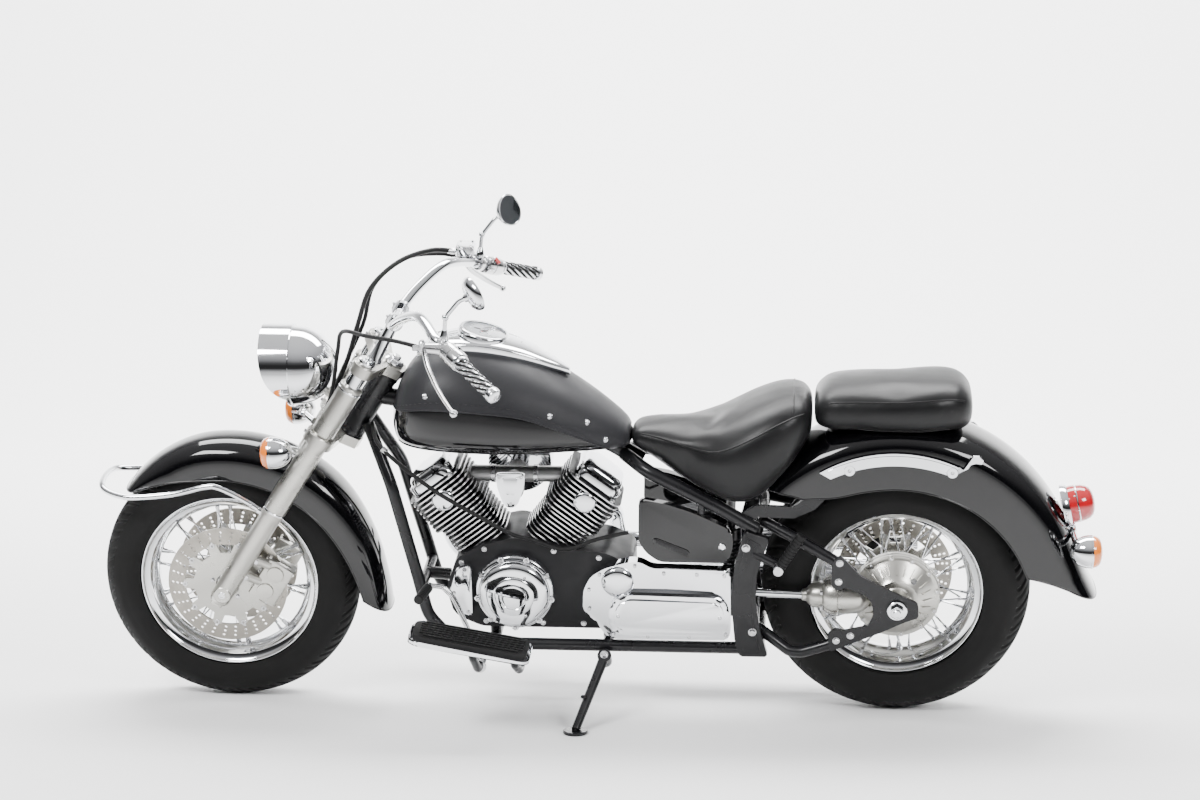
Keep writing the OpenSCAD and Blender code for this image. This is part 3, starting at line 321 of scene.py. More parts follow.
def handling_group():
    """Uneven sheen and slow colour drift, as left by hands, wax and weather."""
    g = bpy.data.node_groups.get("Handling")
    if g:
        return g
    g, i, o = new_group("Handling", [("Scale", FLOAT, 20.0), ("Low", FLOAT, 0.1), ("High", FLOAT, 0.2),
                                     ("Colour A", COLOUR, (0, 0, 0, 1)),
                                     ("Colour B", COLOUR, (1, 1, 1, 1))],
                        [("Roughness", FLOAT), ("Colour", COLOUR)])
    co = g.nodes.new('ShaderNodeTexCoord')
    noise = g.nodes.new('ShaderNodeTexNoise')
    noise.inputs['Detail'].default_value = 5.0
    ramp = g.nodes.new('ShaderNodeMapRange')
    ramp.inputs['From Min'].default_value = 0.35
    ramp.inputs['From Max'].default_value = 0.65
    mix = g.nodes.new('ShaderNodeMix')
    mix.data_type = 'RGBA'
    link = g.links.new
    link(co.outputs['Object'], noise.inputs['Vector'])
    link(i.outputs['Scale'], noise.inputs['Scale'])
    link(noise.outputs['Fac'], ramp.inputs['Value'])
    link(i.outputs['Low'], ramp.inputs['To Min'])
    link(i.outputs['High'], ramp.inputs['To Max'])
    link(ramp.outputs['Result'], o.inputs['Roughness'])
    link(noise.outputs['Fac'], mix.inputs['Factor'])
    link(i.outputs['Colour A'], mix.inputs['A'])
    link(i.outputs['Colour B'], mix.inputs['B'])
    link(mix.outputs['Result'], o.inputs['Colour'])
    return g


def grain_group():
    """Fine pitting of castings, rubber and paint."""
    g = bpy.data.node_groups.get("Grain")
    if g:
        return g
    g, i, o = new_group("Grain", [("Scale", FLOAT, 400.0), ("Waves", FLOAT, 12.0),
                                  ("Wave height", FLOAT, 0.0)],
                        [("Height", FLOAT)])
    co = g.nodes.new('ShaderNodeTexCoord')
    fine = g.nodes.new('ShaderNodeTexNoise')
    fine.inputs['Detail'].default_value = 3.0
    slow = g.nodes.new('ShaderNodeTexNoise')
    slow.inputs['Detail'].default_value = 1.0
    mul = g.nodes.new('ShaderNodeMath')
    mul.operation = 'MULTIPLY_ADD'
    link = g.links.new
    link(co.outputs['Object'], fine.inputs['Vector'])
    link(co.outputs['Object'], slow.inputs['Vector'])
    link(i.outputs['Scale'], fine.inputs['Scale'])
    link(i.outputs['Waves'], slow.inputs['Scale'])
    link(slow.outputs['Fac'], mul.inputs[0])
    link(i.outputs['Wave height'], mul.inputs[1])
    link(fine.outputs['Fac'], mul.inputs[2])
    link(mul.outputs[0], o.inputs['Height'])
    return g


def leather_group():
    """Leather pebbles with soft wrinkles under them."""
    g = bpy.data.node_groups.get("Leather")
    if g:
        return g
    g, i, o = new_group("Leather", [("Scale", FLOAT, 500.0), ("Wrinkle", FLOAT, 1.2)], [("Height", FLOAT)])
    co = g.nodes.new('ShaderNodeTexCoord')
    cells = g.nodes.new('ShaderNodeTexVoronoi')
    cells.feature = 'DISTANCE_TO_EDGE'
    slow = g.nodes.new('ShaderNodeTexNoise')
    slow.inputs['Scale'].default_value = 26.0
    slow.inputs['Detail'].default_value = 4.0
    warp = g.nodes.new('ShaderNodeVectorMath')
    warp.operation = 'MULTIPLY_ADD'
    warp.inputs[1].default_value = (0.004, 0.004, 0.004)
    cap = g.nodes.new('ShaderNodeMath')
    cap.operation = 'MINIMUM'
    cap.inputs[1].default_value = 0.22
    add = g.nodes.new('ShaderNodeMath')
    add.operation = 'MULTIPLY_ADD'
    link = g.links.new
    link(co.outputs['Object'], slow.inputs['Vector'])
    link(slow.outputs['Color'], warp.inputs[0])
    link(co.outputs['Object'], warp.inputs[2])
    link(warp.outputs['Vector'], cells.inputs['Vector'])
    link(i.outputs['Scale'], cells.inputs['Scale'])
    link(cells.outputs['Distance'], cap.inputs[0])
    link(slow.outputs['Fac'], add.inputs[0])
    link(i.outputs['Wrinkle'], add.inputs[1])
    link(cap.outputs[0], add.inputs[2])
    link(add.outputs[0], o.inputs['Height'])
    return g


def turned_group():
    """Fine lathe lines, drawn as straight streaks, for turned faces."""
    g = bpy.data.node_groups.get("Turned lines")
    if g:
        return g
    g, i, o = new_group("Turned lines", [("Scale", FLOAT, 900.0)], [("Height", FLOAT)])
    co = g.nodes.new('ShaderNodeTexCoord')
    noise = g.nodes.new('ShaderNodeTexNoise')
    noise.inputs['Detail'].default_value = 2.0
    stretch = g.nodes.new('ShaderNodeMapping')
    stretch.inputs['Scale'].default_value = (1.0, 0.02, 0.12)
    link = g.links.new
    link(co.outputs['Object'], stretch.inputs['Vector'])
    link(stretch.outputs['Vector'], noise.inputs['Vector'])
    link(i.outputs['Scale'], noise.inputs['Scale'])
    link(noise.outputs['Fac'], o.inputs['Height'])
    return g


# name: colour, drift colour, metallic, roughness low and high, patch scale, relief, relief scale,
# relief depth in mm, coat
FINISHES = {
    "gloss_black_paint": (None, (0.002, 0.002, 0.0026), 0.0, 0.05, 0.11, 9, "grain", 260, 0.004, 0.45),
    "black_frame_paint": ((0.008, 0.008, 0.009), (0.005, 0.005, 0.006), 0.0, 0.22, 0.36, 14, "grain", 500,
                          0.03, 0.15),
    "black_case_paint": ((0.010, 0.010, 0.011), (0.006, 0.006, 0.007), 0.0, 0.36, 0.5, 20, "grain", 700,
                         0.06, 0.0),
    "cylinder_black": ((0.009, 0.009, 0.010), (0.005, 0.005, 0.006), 0.1, 0.34, 0.5, 18, "grain", 650,
                       0.06, 0.0),
    "chrome": (None, (0.74, 0.75, 0.77), 1.0, 0.035, 0.085, 7, "grain", 60, 0.010, 0.0),
    "polished_aluminium": ((0.78, 0.78, 0.79), (0.68, 0.68, 0.69), 1.0, 0.13, 0.22, 16, "turned", 700,
                           0.010, 0.0),
    "satin_aluminium": ((0.54, 0.53, 0.49), (0.44, 0.43, 0.40), 0.9, 0.24, 0.36, 12, "grain", 900, 0.02,
                        0.25),
    "cast_aluminium": ((0.42, 0.42, 0.42), (0.32, 0.32, 0.32), 0.9, 0.34, 0.5, 15, "grain", 500, 0.08, 0.0),
    "brake_disc_steel": ((0.36, 0.34, 0.30), (0.25, 0.235, 0.21), 1.0, 0.24, 0.38, 30, "turned", 1200,
                         0.02, 0.0),
    "fin_edge": ((0.72, 0.72, 0.73), (0.58, 0.58, 0.59), 1.0, 0.2, 0.32, 40, "turned", 900, 0.02, 0.0),
    "bolt_steel": ((0.62, 0.62, 0.63), (0.5, 0.5, 0.51), 1.0, 0.2, 0.34, 60, "grain", 900, 0.02, 0.0),
    "tyre_rubber": ((0.0055, 0.0055, 0.006), (0.010, 0.010, 0.0095), 0.0, 0.55, 0.72, 10, "grain", 900,
                    0.12, 0.0),
    "black_rubber": ((0.007, 0.007, 0.0075), (0.013, 0.013, 0.013), 0.0, 0.45, 0.62, 24, "grain", 900,
                     0.08, 0.0),
    "seat_leather": (None, (0.009, 0.009, 0.0095), 0.0, 0.30, 0.42, 8, "leather", 420, 0.22, 0.0),
    "bib_leather": ((0.026, 0.026, 0.029), (0.017, 0.017, 0.019), 0.0, 0.38, 0.5, 10, "leather", 420, 0.2,
                    0.0),
    "black_plastic": ((0.016, 0.016, 0.017), (0.024, 0.024, 0.025), 0.0, 0.3, 0.44, 22, "grain", 800, 0.04,
                      0.0),
    "red_plastic": ((0.55, 0.02, 0.02), (0.4, 0.015, 0.015), 0.0, 0.3, 0.4, 30, "grain", 800, 0.03, 0.0),
    "dial_face": ((0.6, 0.62, 0.64), (0.5, 0.52, 0.55), 0.0, 0.4, 0.5, 20, "grain", 900, 0.01, 0.0),
    "mirror_glass": ((0.10, 0.11, 0.12), (0.08, 0.09, 0.10), 0.9, 0.02, 0.05, 6, "grain", 60, 0.001, 1.0),
    "lamp_bowl": ((0.85, 0.86, 0.88), (0.8, 0.81, 0.83), 1.0, 0.08, 0.12, 8, "grain", 80, 0.01, 0.0),
    "red_lens": ((0.50, 0.006, 0.014), (0.38, 0.004, 0.010), 0.0, 0.06, 0.10, 12, "grain", 90, 0.01, 1.0),
    "amber_lens": ((0.86, 0.22, 0.015), (0.78, 0.17, 0.010), 0.0, 0.06, 0.10, 12, "grain", 90, 0.01, 1.0),
}
# how strongly the dark finishes reflect, where it isn't the usual half
SHEEN = {"gloss_black_paint": 0.28, "black_frame_paint": 0.25, "black_case_paint": 0.22,
         "cylinder_black": 0.2,
         "tyre_rubber": 0.12, "black_rubber": 0.18, "seat_leather": 0.24, "bib_leather": 0.2,
         "black_plastic": 0.25}


def finish(name):
    """The material of that finish, built on first use."""
    mat = bpy.data.materials.get("finish_" + name)
    if mat:
        return mat
    mat = bpy.data.materials.new("finish_" + name)
    mat.use_nodes = True
    nodes, link = mat.node_tree.nodes, mat.node_tree.links.new
    bsdf = nodes['Principled BSDF']
    if name == "clear_glass":
        bsdf.inputs['Base Color'].default_value = (1, 1, 1, 1)
        bsdf.inputs['Transmission Weight'].default_value = 1.0
        bsdf.inputs['IOR'].default_value = 1.2
        worn = nodes.new('ShaderNodeGroup')
        worn.node_tree = handling_group()
        worn.inputs['Scale'].default_value = 12
        worn.inputs['Low'].default_value = 0.0
        worn.inputs['High'].default_value = 0.03
        link(worn.outputs['Roughness'], bsdf.inputs['Roughness'])
        return mat
    colour, drift, metallic, low, high, patch, relief, scale, depth, coat = FINISHES[name]
    if colour is None:
        colour = {"gloss_black_paint": looks().paint, "chrome": looks().chrome,
                  "seat_leather": looks().leather}[name]
    worn = nodes.new('ShaderNodeGroup')
    worn.node_tree = handling_group()
    worn.inputs['Scale'].default_value = patch
    worn.inputs['Low'].default_value = low
    worn.inputs['High'].default_value = high
    worn.inputs['Colour A'].default_value = (*colour, 1)
    worn.inputs['Colour B'].default_value = (*drift, 1)
    link(worn.outputs['Colour'], bsdf.inputs['Base Color'])
    link(worn.outputs['Roughness'], bsdf.inputs['Roughness'])
    bsdf.inputs['Metallic'].default_value = metallic
    bsdf.inputs['Coat Weight'].default_value = coat
    bsdf.inputs['Coat Roughness'].default_value = 0.03
    bsdf.inputs['Specular IOR Level'].default_value = SHEEN.get(name, 0.5)
    skin = nodes.new('ShaderNodeGroup')
    skin.node_tree = {"grain": grain_group, "leather": leather_group, "turned": turned_group}[relief]()
    skin.inputs['Scale'].default_value = scale
    bump = nodes.new('ShaderNodeBump')
    bump.inputs['Distance'].default_value = depth * 0.001
    bump.inputs['Strength'].default_value = 1.0
    link(skin.outputs['Height'], bump.inputs['Height'])
    link(bump.outputs['Normal'], bsdf.inputs['Normal'])
    return mat


# ---------- wheels ----------

def build_tyre(name, pos, ring_r, tube_r, flange_r, body, node, columns):
    """Tyre with straight middle grooves and slanted side cuts."""
    depth = looks().tread_depth * 1000
    bm = bmesh.new()
    r_tyre = ring_r + tube_r
    bead = acos((flange_r + 1 - ring_r) / tube_r)
    crown = [-62, -60, -56, -50, -44, -38, -36, -30, -24, -19, -16, -13, -12, -9, -8.9, -4.5, 0]
    crown = [v * tube_r / 65 for v in crown]
    lateral = crown + [-v for v in crown[-2::-1]]
    side_steps = 11
    edge = abs(lateral[0]) / tube_r
    angles = [-bead + (bead - edge) * k / side_steps for k in range(side_steps)]
    angles = angles + [t / tube_r for t in lateral] + [-a for a in reversed(angles)]
    part = tube_r / 65      # the pattern is laid out on a tyre 130 mm wide
    loops = []
    for a in angles:
        t = abs(a) * tube_r
        loop = []
        for i in range(columns):
            slant = max(0.0, min(t, 70) - 14 * part) * 0.75 / r_tyre
            theta = 2 * pi * i / columns + slant
            dip = 0.0
            k = i % 12
            half = 6 if a > 0 else 0
            if 17 * part < t < 61 * part and (k + half) % 12 in (0, 1):
                dip = depth
            if 34 * part < t < 61 * part and (k + half) % 12 in (5, 6):
                dip = depth * 0.8
            if 8.5 * part < t < 12.5 * part:
                dip = depth
            if abs(t - 44 * part) < 2:
                dip += 0.3
            raised = abs(abs(a) - 1.55) < 0.05 or abs(abs(a) - 1.75) < 0.04
            r = tube_r - dip - (0.9 if abs(a) > 1.3 and not raised else 0)
            p = Vector((0, r * sin(a), ring_r + r * cos(a)))
            loop.append(Vector(pos) + Vector((p.z * cos(theta), p.y, p.z * sin(theta))))
        loops.append(loop)
    rings(bm, loops, 0, (False, False))
    # bead and inner face, hidden by the rim
    inner = [(ring_r + (tube_r - 8) * cos(a), (tube_r - 8) * sin(a)) for a in (bead, -bead)]
    lathe(bm, [(r, h) for r, h in inner], along_y(pos), 64, 0)
    return piece(name, bm, ["tyre_rubber"], body, [node], sharp=38)


def build_rim(name, pos, flange_r, half, body, node):
    bm = bmesh.new()
    m = along_y(pos)
    lip = [(flange_r - 1 + 4.2 * cos(a), half - 1.5 + 4.2 * sin(a)) for a in
           [radians(q) for q in range(-40, 200, 30)]]
    front = lip + [(flange_r - 11, half - 5), (flange_r - 20, half - 8), (flange_r - 22, half - 14),
                   (flange_r - 23.5, half * 0.5), (flange_r - 26, half * 0.42),
                   (flange_r - 35, half * 0.27),
                   (flange_r - 36, half * 0.2)]
    outer = front + [(r, -h) for r, h in reversed(front)]
    inner = [(r + 4.5, h * 0.96) for r, h in reversed(outer) if r < flange_r - 10]
    lathe(bm, outer + inner, m, 128, 0, close=True)
    return piece(name, bm, ["chrome"], body, [node], sharp=50)


def build_spokes(name, pos, hub_r, hub_half, rim_r, wind, body, node, count=40, r=2.2):
    """Crossed wire spokes with nipples at the rim and elbows at the hub."""
    bm = bmesh.new()
    quarter = count // 4
    step = 2 * pi / quarter
    for k in range(quarter):
        for side in (-1, 1):
            for turn in (-1, 1):
                a = k * step + (side + 1) * step / 8 + (turn + 1) * step / 4
                b = a + turn * radians(wind)
                hub = Vector(pos) + Vector((hub_r * cos(a), -side * (hub_half + turn * 3.2),
                                            hub_r * sin(a)))
                rim = Vector(pos) + Vector((rim_r * cos(b), -side * (7 + turn * 3), rim_r * sin(b)))
                along = (rim - hub).normalized()
                rod(bm, hub, rim, r, n=8, mat=0, edge=0.1)
                rod(bm, rim - along * 20, rim - along * 1, 3.4, 4.0, n=8, mat=1)
                rod(bm, hub - Vector((0, -side * turn * 4.5, 0)), hub + Vector((0, -side * turn * 2.5, 0)),
                    3.2,
                    n=8, mat=1)
    return piece(name, bm, ["chrome", "bolt_steel"], body, [node])


def build_hub(name, pos, half, core_r, flange_y, flange_r, bore, body, node, finish_name):
    bm = bmesh.new()
    line = [(bore, half), (core_r - 6, half), (core_r, half - 4), (core_r, flange_y + 7),
            (flange_r - 3, flange_y + 6),
            (flange_r, flange_y + 3), (flange_r, flange_y - 4), (flange_r - 8, flange_y - 6),
            (core_r + 4, flange_y - 12), (core_r, flange_y - 22), (core_r - 5, 4)]
    lathe(bm, line + [(r, -h) for r, h in reversed(line)], along_y(pos), 64, 0, close=True)
    for side in (-1, 1):
        for x, z in circle(10, flange_r - 8):
            cap_screw(bm, Vector(pos) + Vector((x, side * (flange_y + 6), z)), (0, side, 0), 3.2, 2, 1)
    return piece(name, bm, [finish_name, "bolt_steel"], body, [node])


def build_disc(bm, pos, d, y, carrier_in, face_y, side):
    """One drilled brake disc on its spider."""
    m = along_y(pos)
    r_out, r_in = d / 2, d / 2 - 42
    holes = []
    for row, (r, shift) in enumerate(((r_in + 9, 0), (r_in + 20, 0.5), (r_in + 31, 0))):
        count = 30
        for k in range(count):
            a = 2 * pi * (k + shift) / count + row * 0.09
            holes.append([(r * cos(a) + 3.6 * cos(-q), r * sin(a) + 3.6 * sin(-q))
                          for q in [2 * pi * j / 8 for j in range(8)]])
    ring = [(r_out * cos(2 * pi * k / 120), r_out * sin(2 * pi * k / 120)) for k in range(120)]
    hole = [(r_in * cos(2 * pi * k / 90), r_in * sin(2 * pi * k / 90)) for k in range(90)]
    plate(bm, ring, [hole] + holes, y - 2.5, y + 2.5, m, 0)
    # spider: an inner ring with ten arms that reach the disc through bobbins
    arms = 10
    star = []
    for k in range(arms):
        a = 2 * pi * k / arms
        for da, r in ((-0.16, r_in - 22), (-0.10, r_in + 3), (0.10, r_in + 3), (0.16, r_in - 22)):
            star.append(((r) * cos(a + da), (r) * sin(a + da)))
    bore = [(carrier_in * cos(2 * pi * k / 48), carrier_in * sin(2 * pi * k / 48)) for k in range(48)]
    plate(bm, star, [bore], y - 3.4, y + 3.4, m, 1)
    for k in range(arms):
        a = 2 * pi * k / arms
        p = Vector(pos) + Vector((r_in * cos(a), y, r_in * sin(a)))
        lathe(bm, [(0, -4.2), (6.5, -4.2), (7.2, -3.4), (7.2, 3.4), (6.5, 4.2), (3, 4.2), (3, 3.4),
                   (0, 3.4)],
              aim(p, (0, side, 0)), 16, 2)
        q = Vector(pos) + Vector(((carrier_in + 9) * cos(a + 0.3), y + side * 3,
                                  (carrier_in + 9) * sin(a + 0.3)))
        if k % 2 == 0:
            bolt(bm, q, (0, side, 0), 5, 5, 2)
    inner = abs(y) - face_y - 0.6
    lathe(bm, [(carrier_in + 15, 0), (carrier_in + 12, -inner), (carrier_in, -inner), (carrier_in, 0)],
          aim(Vector(pos) + Vector((0, y, 0)), (0, side, 0)), 48, 1, close=True)


def build_front_wheel():
    build_tyre("front_tyre_tread", FRONT_AXLE, FRONT_RING, FRONT_TUBE, 222, "front_wheel", "front_tyre",
               420)
    build_rim("front_rim_chrome", FRONT_AXLE, 222, 48, "front_wheel", "front_rim")
    build_spokes("front_wire_spokes", FRONT_AXLE, 40, 34, 188, 28, "front_wheel", "front_spokes")
    build_hub("front_hub_shell", FRONT_AXLE, 46, 32, 34, 44, 9.06, "front_wheel", "front_hub",
              "polished_aluminium")
    bm = bmesh.new()
    for side in (-1, 1):
        build_disc(bm, FRONT_AXLE, 298, side * 67, 30, 46, side)
    piece("front_brake_discs", bm, ["brake_disc_steel", "satin_aluminium", "bolt_steel"], "front_wheel",
          ["front_discs"])


def build_rear_wheel():
    build_tyre("rear_tyre_tread", REAR_AXLE, REAR_RING, REAR_TUBE, 210, "rear_wheel", "rear_tyre", 420)
    build_rim("rear_rim_chrome", REAR_AXLE, 210, 62, "rear_wheel", "rear_rim")
    build_spokes("rear_wire_spokes", REAR_AXLE, 58, 40, 176, 24, "rear_wheel", "rear_spokes")
    build_hub("rear_hub_shell", REAR_AXLE, 52, 48, 40, 62, 10.06, "rear_wheel", "rear_hub",
              "satin_aluminium")
    bm = bmesh.new()
    build_disc(bm, REAR_AXLE, 282, -72, 46, 52, -1)
    piece("rear_brake_disc", bm, ["brake_disc_steel", "satin_aluminium", "bolt_steel"], "rear_wheel",
          ["rear_disc"])


# ---------- fork, bars and what sits on them ----------

def build_fork():
    bm = bmesh.new()
    for side in (-1, 1):
        y = side * FORK_HALF
        m = aim(on_fork(0, FORK_OFFSET, y), STEER_UP)
        lathe(bm, [(0, -32), (17, -32), (23, -28), (25.5, -20), (26, 30), (26, 236), (27, 240), (27, 250)],
              m, 40, 0)
        lathe(bm, [(22, 250), (28.4, 250), (28.8, 252), (28.8, 262), (29, 263), (29, 560), (29, 638),
                   (27.5, 640),
                   (21, 640)], m, 40, 1)
        lathe(bm, [(21, 638), (21, 704), (21.6, 706), (21.6, 714), (19, 717), (9, 717), (8, 714),
                   (0, 714)], m, 32, 2)
        # clamp at the axle with its pinch bolt, and the fender's boss
        axle = on_fork(0, FORK_OFFSET, y)
        rod(bm, axle + Vector((0, -side * 26.4, 0)), axle + Vector((0, side * 27, 0)), 21, n=32, mat=0,
            edge=2)
        low = on_fork(-30, FORK_OFFSET, y)
        block(bm, (30, 34, 22), aim(low + 4 * STEER_UP, STEER_UP), 0, 3)
        cap_screw(bm, low + STEER_OUT * 15 + Vector((0, side * 6, 0)) + STEER_UP * 2, STEER_OUT, 5, 4, 3)
        rod(bm, on_fork(296, FORK_OFFSET, side * 79.3), on_fork(296, FORK_OFFSET, side * 103), 12, n=24,
            mat=1)
        for s in (258, 628):
            lathe(bm, [(29.2, -3), (30, -2), (30, 2), (29.2, 3)],
                  aim(on_fork(s, FORK_OFFSET, y), STEER_UP), 40, 2)
    piece("fork_legs_turned", bm, ["satin_aluminium", "satin_aluminium", "chrome", "bolt_steel"],
          "steering",
          ["fork_legs"])

    bm = bmesh.new()
    for s, eye, boss in ((LOWER_YOKE, 29, 0), (UPPER_YOKE, 21, 1)):
        m = Matrix((STEER_OUT, Vector((0, 1, 0)), STEER_UP)).transposed().to_4x4()
        m.translation = on_fork(s, 0, 0)
        r = eye + 9
        line = []
        for side in (1, -1):
            arc = [(FORK_OFFSET + r * cos(a), side * (FORK_HALF + r * sin(a)))
                   for a in [radians(q) for q in range(-28, 200, 19)]]
            line += arc if side > 0 else arc[::-1]
            if side > 0:
                line += [(8, 40), (-30, 26), (-36, 0), (-30, -26), (8, -40)]
        line += [(66, -52), (62, -20), (62, 20), (66, 52)]
        hole = [[(FORK_OFFSET + (eye + .3) * cos(-a), side * FORK_HALF + (eye + .3) * sin(-a))
                 for a in [2 * pi * k / 36 for k in range(36)]] for side in (1, -1)]
        plate(bm, line, hole, -YOKE_T / 2, YOKE_T / 2, m, 0)
        for side in (1, -1):
            lathe(bm, [(eye + .4, YOKE_T / 2), (r - 1, YOKE_T / 2), (r - 3, YOKE_T / 2 + 2.5),
                       (eye + .4, YOKE_T / 2 + 2.5)],
                  m @ Matrix.Translation((FORK_OFFSET, side * FORK_HALF, 0)), 36, 0)
            cap_screw(bm, on_fork(s, FORK_OFFSET + r - 1, side * FORK_HALF), STEER_OUT, 5, 5, 1)
        if boss:
            lathe(bm, [(0, 13), (24, 13), (26, 15), (26, 20), (20, 26), (9, 28), (0, 28)], m, 36, 2)
            lathe(bm, [(0, 27), (11, 27), (11, 33), (9, 35), (0, 35)], m, 6, 1)
    rod(bm, on_fork(470, 0, 0), on_fork(700, 0, 0), 15, n=32)
    for side in (-1, 1):
        foot, top = on_fork(UPPER_YOKE, FORK_OFFSET - 14, side * 50), Vector((1203, side * 50, 1001))
        up = top - foot
        h = up.length
        lathe(bm, [(20, 12), (19, 16), (15.5, 22), (14, h * 0.55), (14, h - 14), (0, h - 10)],
              aim(foot, up), 32, 2)
        lathe(bm, [(13, -9), (20.5, -9), (21.7, -7.6), (21.7, 7.6), (20.5, 9), (13, 9)], along_y(top), 36,
              2,
              close=True)
        for dx in (-1, 1):
            cap_screw(bm, top + Vector((dx * 16, 0, 14)), (dx * 0.35, 0, 1), 3.6, 4, 1)
    piece("yokes_and_risers", bm, ["satin_aluminium", "bolt_steel", "chrome"], "steering",
          ["triple_clamps"])

    bm = bmesh.new()
    half_bar = [Vector((1203, 0, 1001)), Vector((1203, 62, 1001)), Vector((1203, 78, 1001)),
                Vector((1168, 134, 1036)), Vector((1116, 215, 1066)), on_bar(-.62, 1), on_bar(-.46, 1),
                on_bar(0, 1), on_bar(1, 1)]
    tube(bm, [flip(p, -1) for p in reversed(half_bar[1:])] + half_bar, BAR_R, 24, 6, 0)
    piece("handlebar_tube", bm, ["chrome"], "steering", ["handlebar"])


def build_grips():
    """Chrome grips with rubber strips wound round them."""
    bm = bmesh.new()
    for side in (-1, 1):
        a, b = on_bar(0.10, side), on_bar(0.985, side)
        m = aim(a, b - a)
        length, rows, n = (b - a).length, 84, 56
        loops = []
        for i in range(rows + 1):
            h = length * i / rows
            loop = []
            for j in range(n):
                strip = ((j / n * 8 + side * i / rows * 5.2) % 1.0)
                r = 17.0 if strip < 0.56 else 15.2
                loop.append(m @ Vector((r * cos(2 * pi * j / n), r * sin(2 * pi * j / n), h)))
            loops.append(loop)
        faces = rings(bm, loops, 0, (True, True))
        for i in range(rows):
            for j in range(n):
                strip = (((j + 0.5) / n * 8 + side * (i + 0.5) / rows * 5.2) % 1.0)
                faces[i * n + j].material_index = 0 if strip < 0.6 else 1
        for s, r0, h0 in ((a, 19, -3), (b, 17.6, -8)):
            lathe(bm, [(13, h0), (r0, h0), (r0 + .8, h0 + 2), (r0 + .8, h0 + 7), (r0, h0 + 9),
                       (13, h0 + 9)],
                  aim(s, b - a), 36, 1)
        lathe(bm, [(17.6, -2), (18.2, 2), (17.4, 7), (13, 10), (6, 11), (5, 10), (0, 10)], aim(b, b - a),
              36, 1)
    piece("grips_wound", bm, ["black_rubber", "chrome"], "steering", ["grips"])


def build_hand_controls():
    bm = bmesh.new()
    for side in (-1, 1):
        line = on_bar(1, side) - on_bar(0, side)
        pod = aim(on_bar(-0.28, side), line)
        long = (on_bar(0.08, side) - on_bar(-0.28, side)).length
        lathe(bm, [(13, 0), (20, 0), (22.6, 2.5), (23, 5), (23, long * .46), (22.2, long * .48),
                   (22.2, long * .5),
                   (23, long * .52), (23, long - 5), (22, long - 1), (13, long)], pod, 36, 0)
        # buttons and screws on the pod's rear face
        face = on_bar(-0.1, side) + Vector((-16, -side * 6, 14))
        block(bm, (18, 12, 6), aim(face, (-0.8, -side * 0.3, 0.6)), 2 if side < 0 else 3, 1.5)
        block(bm, (12, 9, 6), aim(on_bar(-0.2, side) + Vector((-18, -side * 6, 8)),
                                  (-0.9, -side * 0.3, 0.3)), 3, 1.5)
        lathe(bm, [(0, -1), (5, -1), (5, 3), (4, 4.5), (0, 4.5)],
              aim(on_bar(-0.04, side) + Vector((-20, 0, -4)), (-1, 0, -0.1)), 20, 3)
        clamp = aim(on_bar(-0.42, side), line)
        lathe(bm, [(13, 0), (17, 0), (18, 1.5), (18, 15), (17, 16.6), (13, 16.6)], clamp, 32, 0)
        perch = on_bar(-0.3, side) + Vector((52, side * 20, 10))
        rod(bm, on_bar(-0.3, side), perch, 15, 11, n=28, mat=0, edge=2)
        lathe(bm, [(0, -7), (8, -7), (8, 14), (6.5, 16), (0, 16)], aim(perch, (0, 0, 1)), 24, 1)
        bolt(bm, perch + Vector((0, 0, 15)), (0, 0, 1), 5, 4, 1)
        path = [perch - Vector((2, side * 2, 0)), on_bar(-0.02, side) + Vector((64, side * 16, -12)),
                on_bar(0.28, side) + Vector((71, side * 21, -28)),
                on_bar(0.5, side) + Vector((74, side * 22, -38)),
                on_bar(0.75, side) + Vector((80, side * 17, -43)),
                on_bar(0.95, side) + Vector((86, side * 10, -44))]
        widths = [11, 10, 9.5, 9, 8.6, 8.2, 8, 7.8, 7.6, 7.4, 7.2, 7.0, 6.8, 6.6, 6.4, 6.2, 6.0, 5.8, 5.8,
                  5.8, 5.8]
        tube_tapered(bm, path, widths, 0.62)
        tip = path[-1]
        lathe(bm, [(9.2 * sin(pi * k / 10), -9.2 * cos(pi * k / 10)) for k in range(11)],
              aim(tip, (0, 0, 1)), 20, 0)
        if side < 0:
            box = on_bar(-0.38, side) + Vector((33, 0, 38))
            m = Matrix.Translation(box)
            block(bm, (46, 62, 22), m @ Matrix.Translation((0, 0, -2)), 1, 4, 10)
            block(bm, (44, 58, 5), m @ Matrix.Translation((0, 0, 11.5)), 1, 1.5, 9)
            for dx in (-15, 15):
                for dy in (-22, 22):
                    cap_screw(bm, box + Vector((dx, dy, 14)), (0, 0, 1), 3, 1.4, 4)
            rod(bm, box + Vector((-6, 0, -12)), on_bar(-0.38, side) + Vector((6, 0, 4)), 13, n=24)
    piece("hand_controls_cast", bm, ["polished_aluminium", "chrome", "red_plastic", "black_plastic",
                                     "bolt_steel"],
          "steering", ["hand_controls"])


def tube_tapered(bm, path, widths, flat):
    """A flattened bar whose width follows the list, one value to each step."""
    p = [Vector(q) for q in smooth(path, 4)]
    last = len(p) - 1
    loops = []
    u = None
    for i, q in enumerate(p):
        t = (p[min(i + 1, last)] - p[max(i - 1, 0)]).normalized()
        u = t.cross(Vector((0, 0, 1))).normalized()
        v = t.cross(u)
        k = widths[min(i, len(widths) - 1)]
        loops.append([q + k * (cos(2 * pi * j / 16) * v + flat * sin(2 * pi * j / 16) * u) for j in range(16)])
    rings(bm, loops, 0)


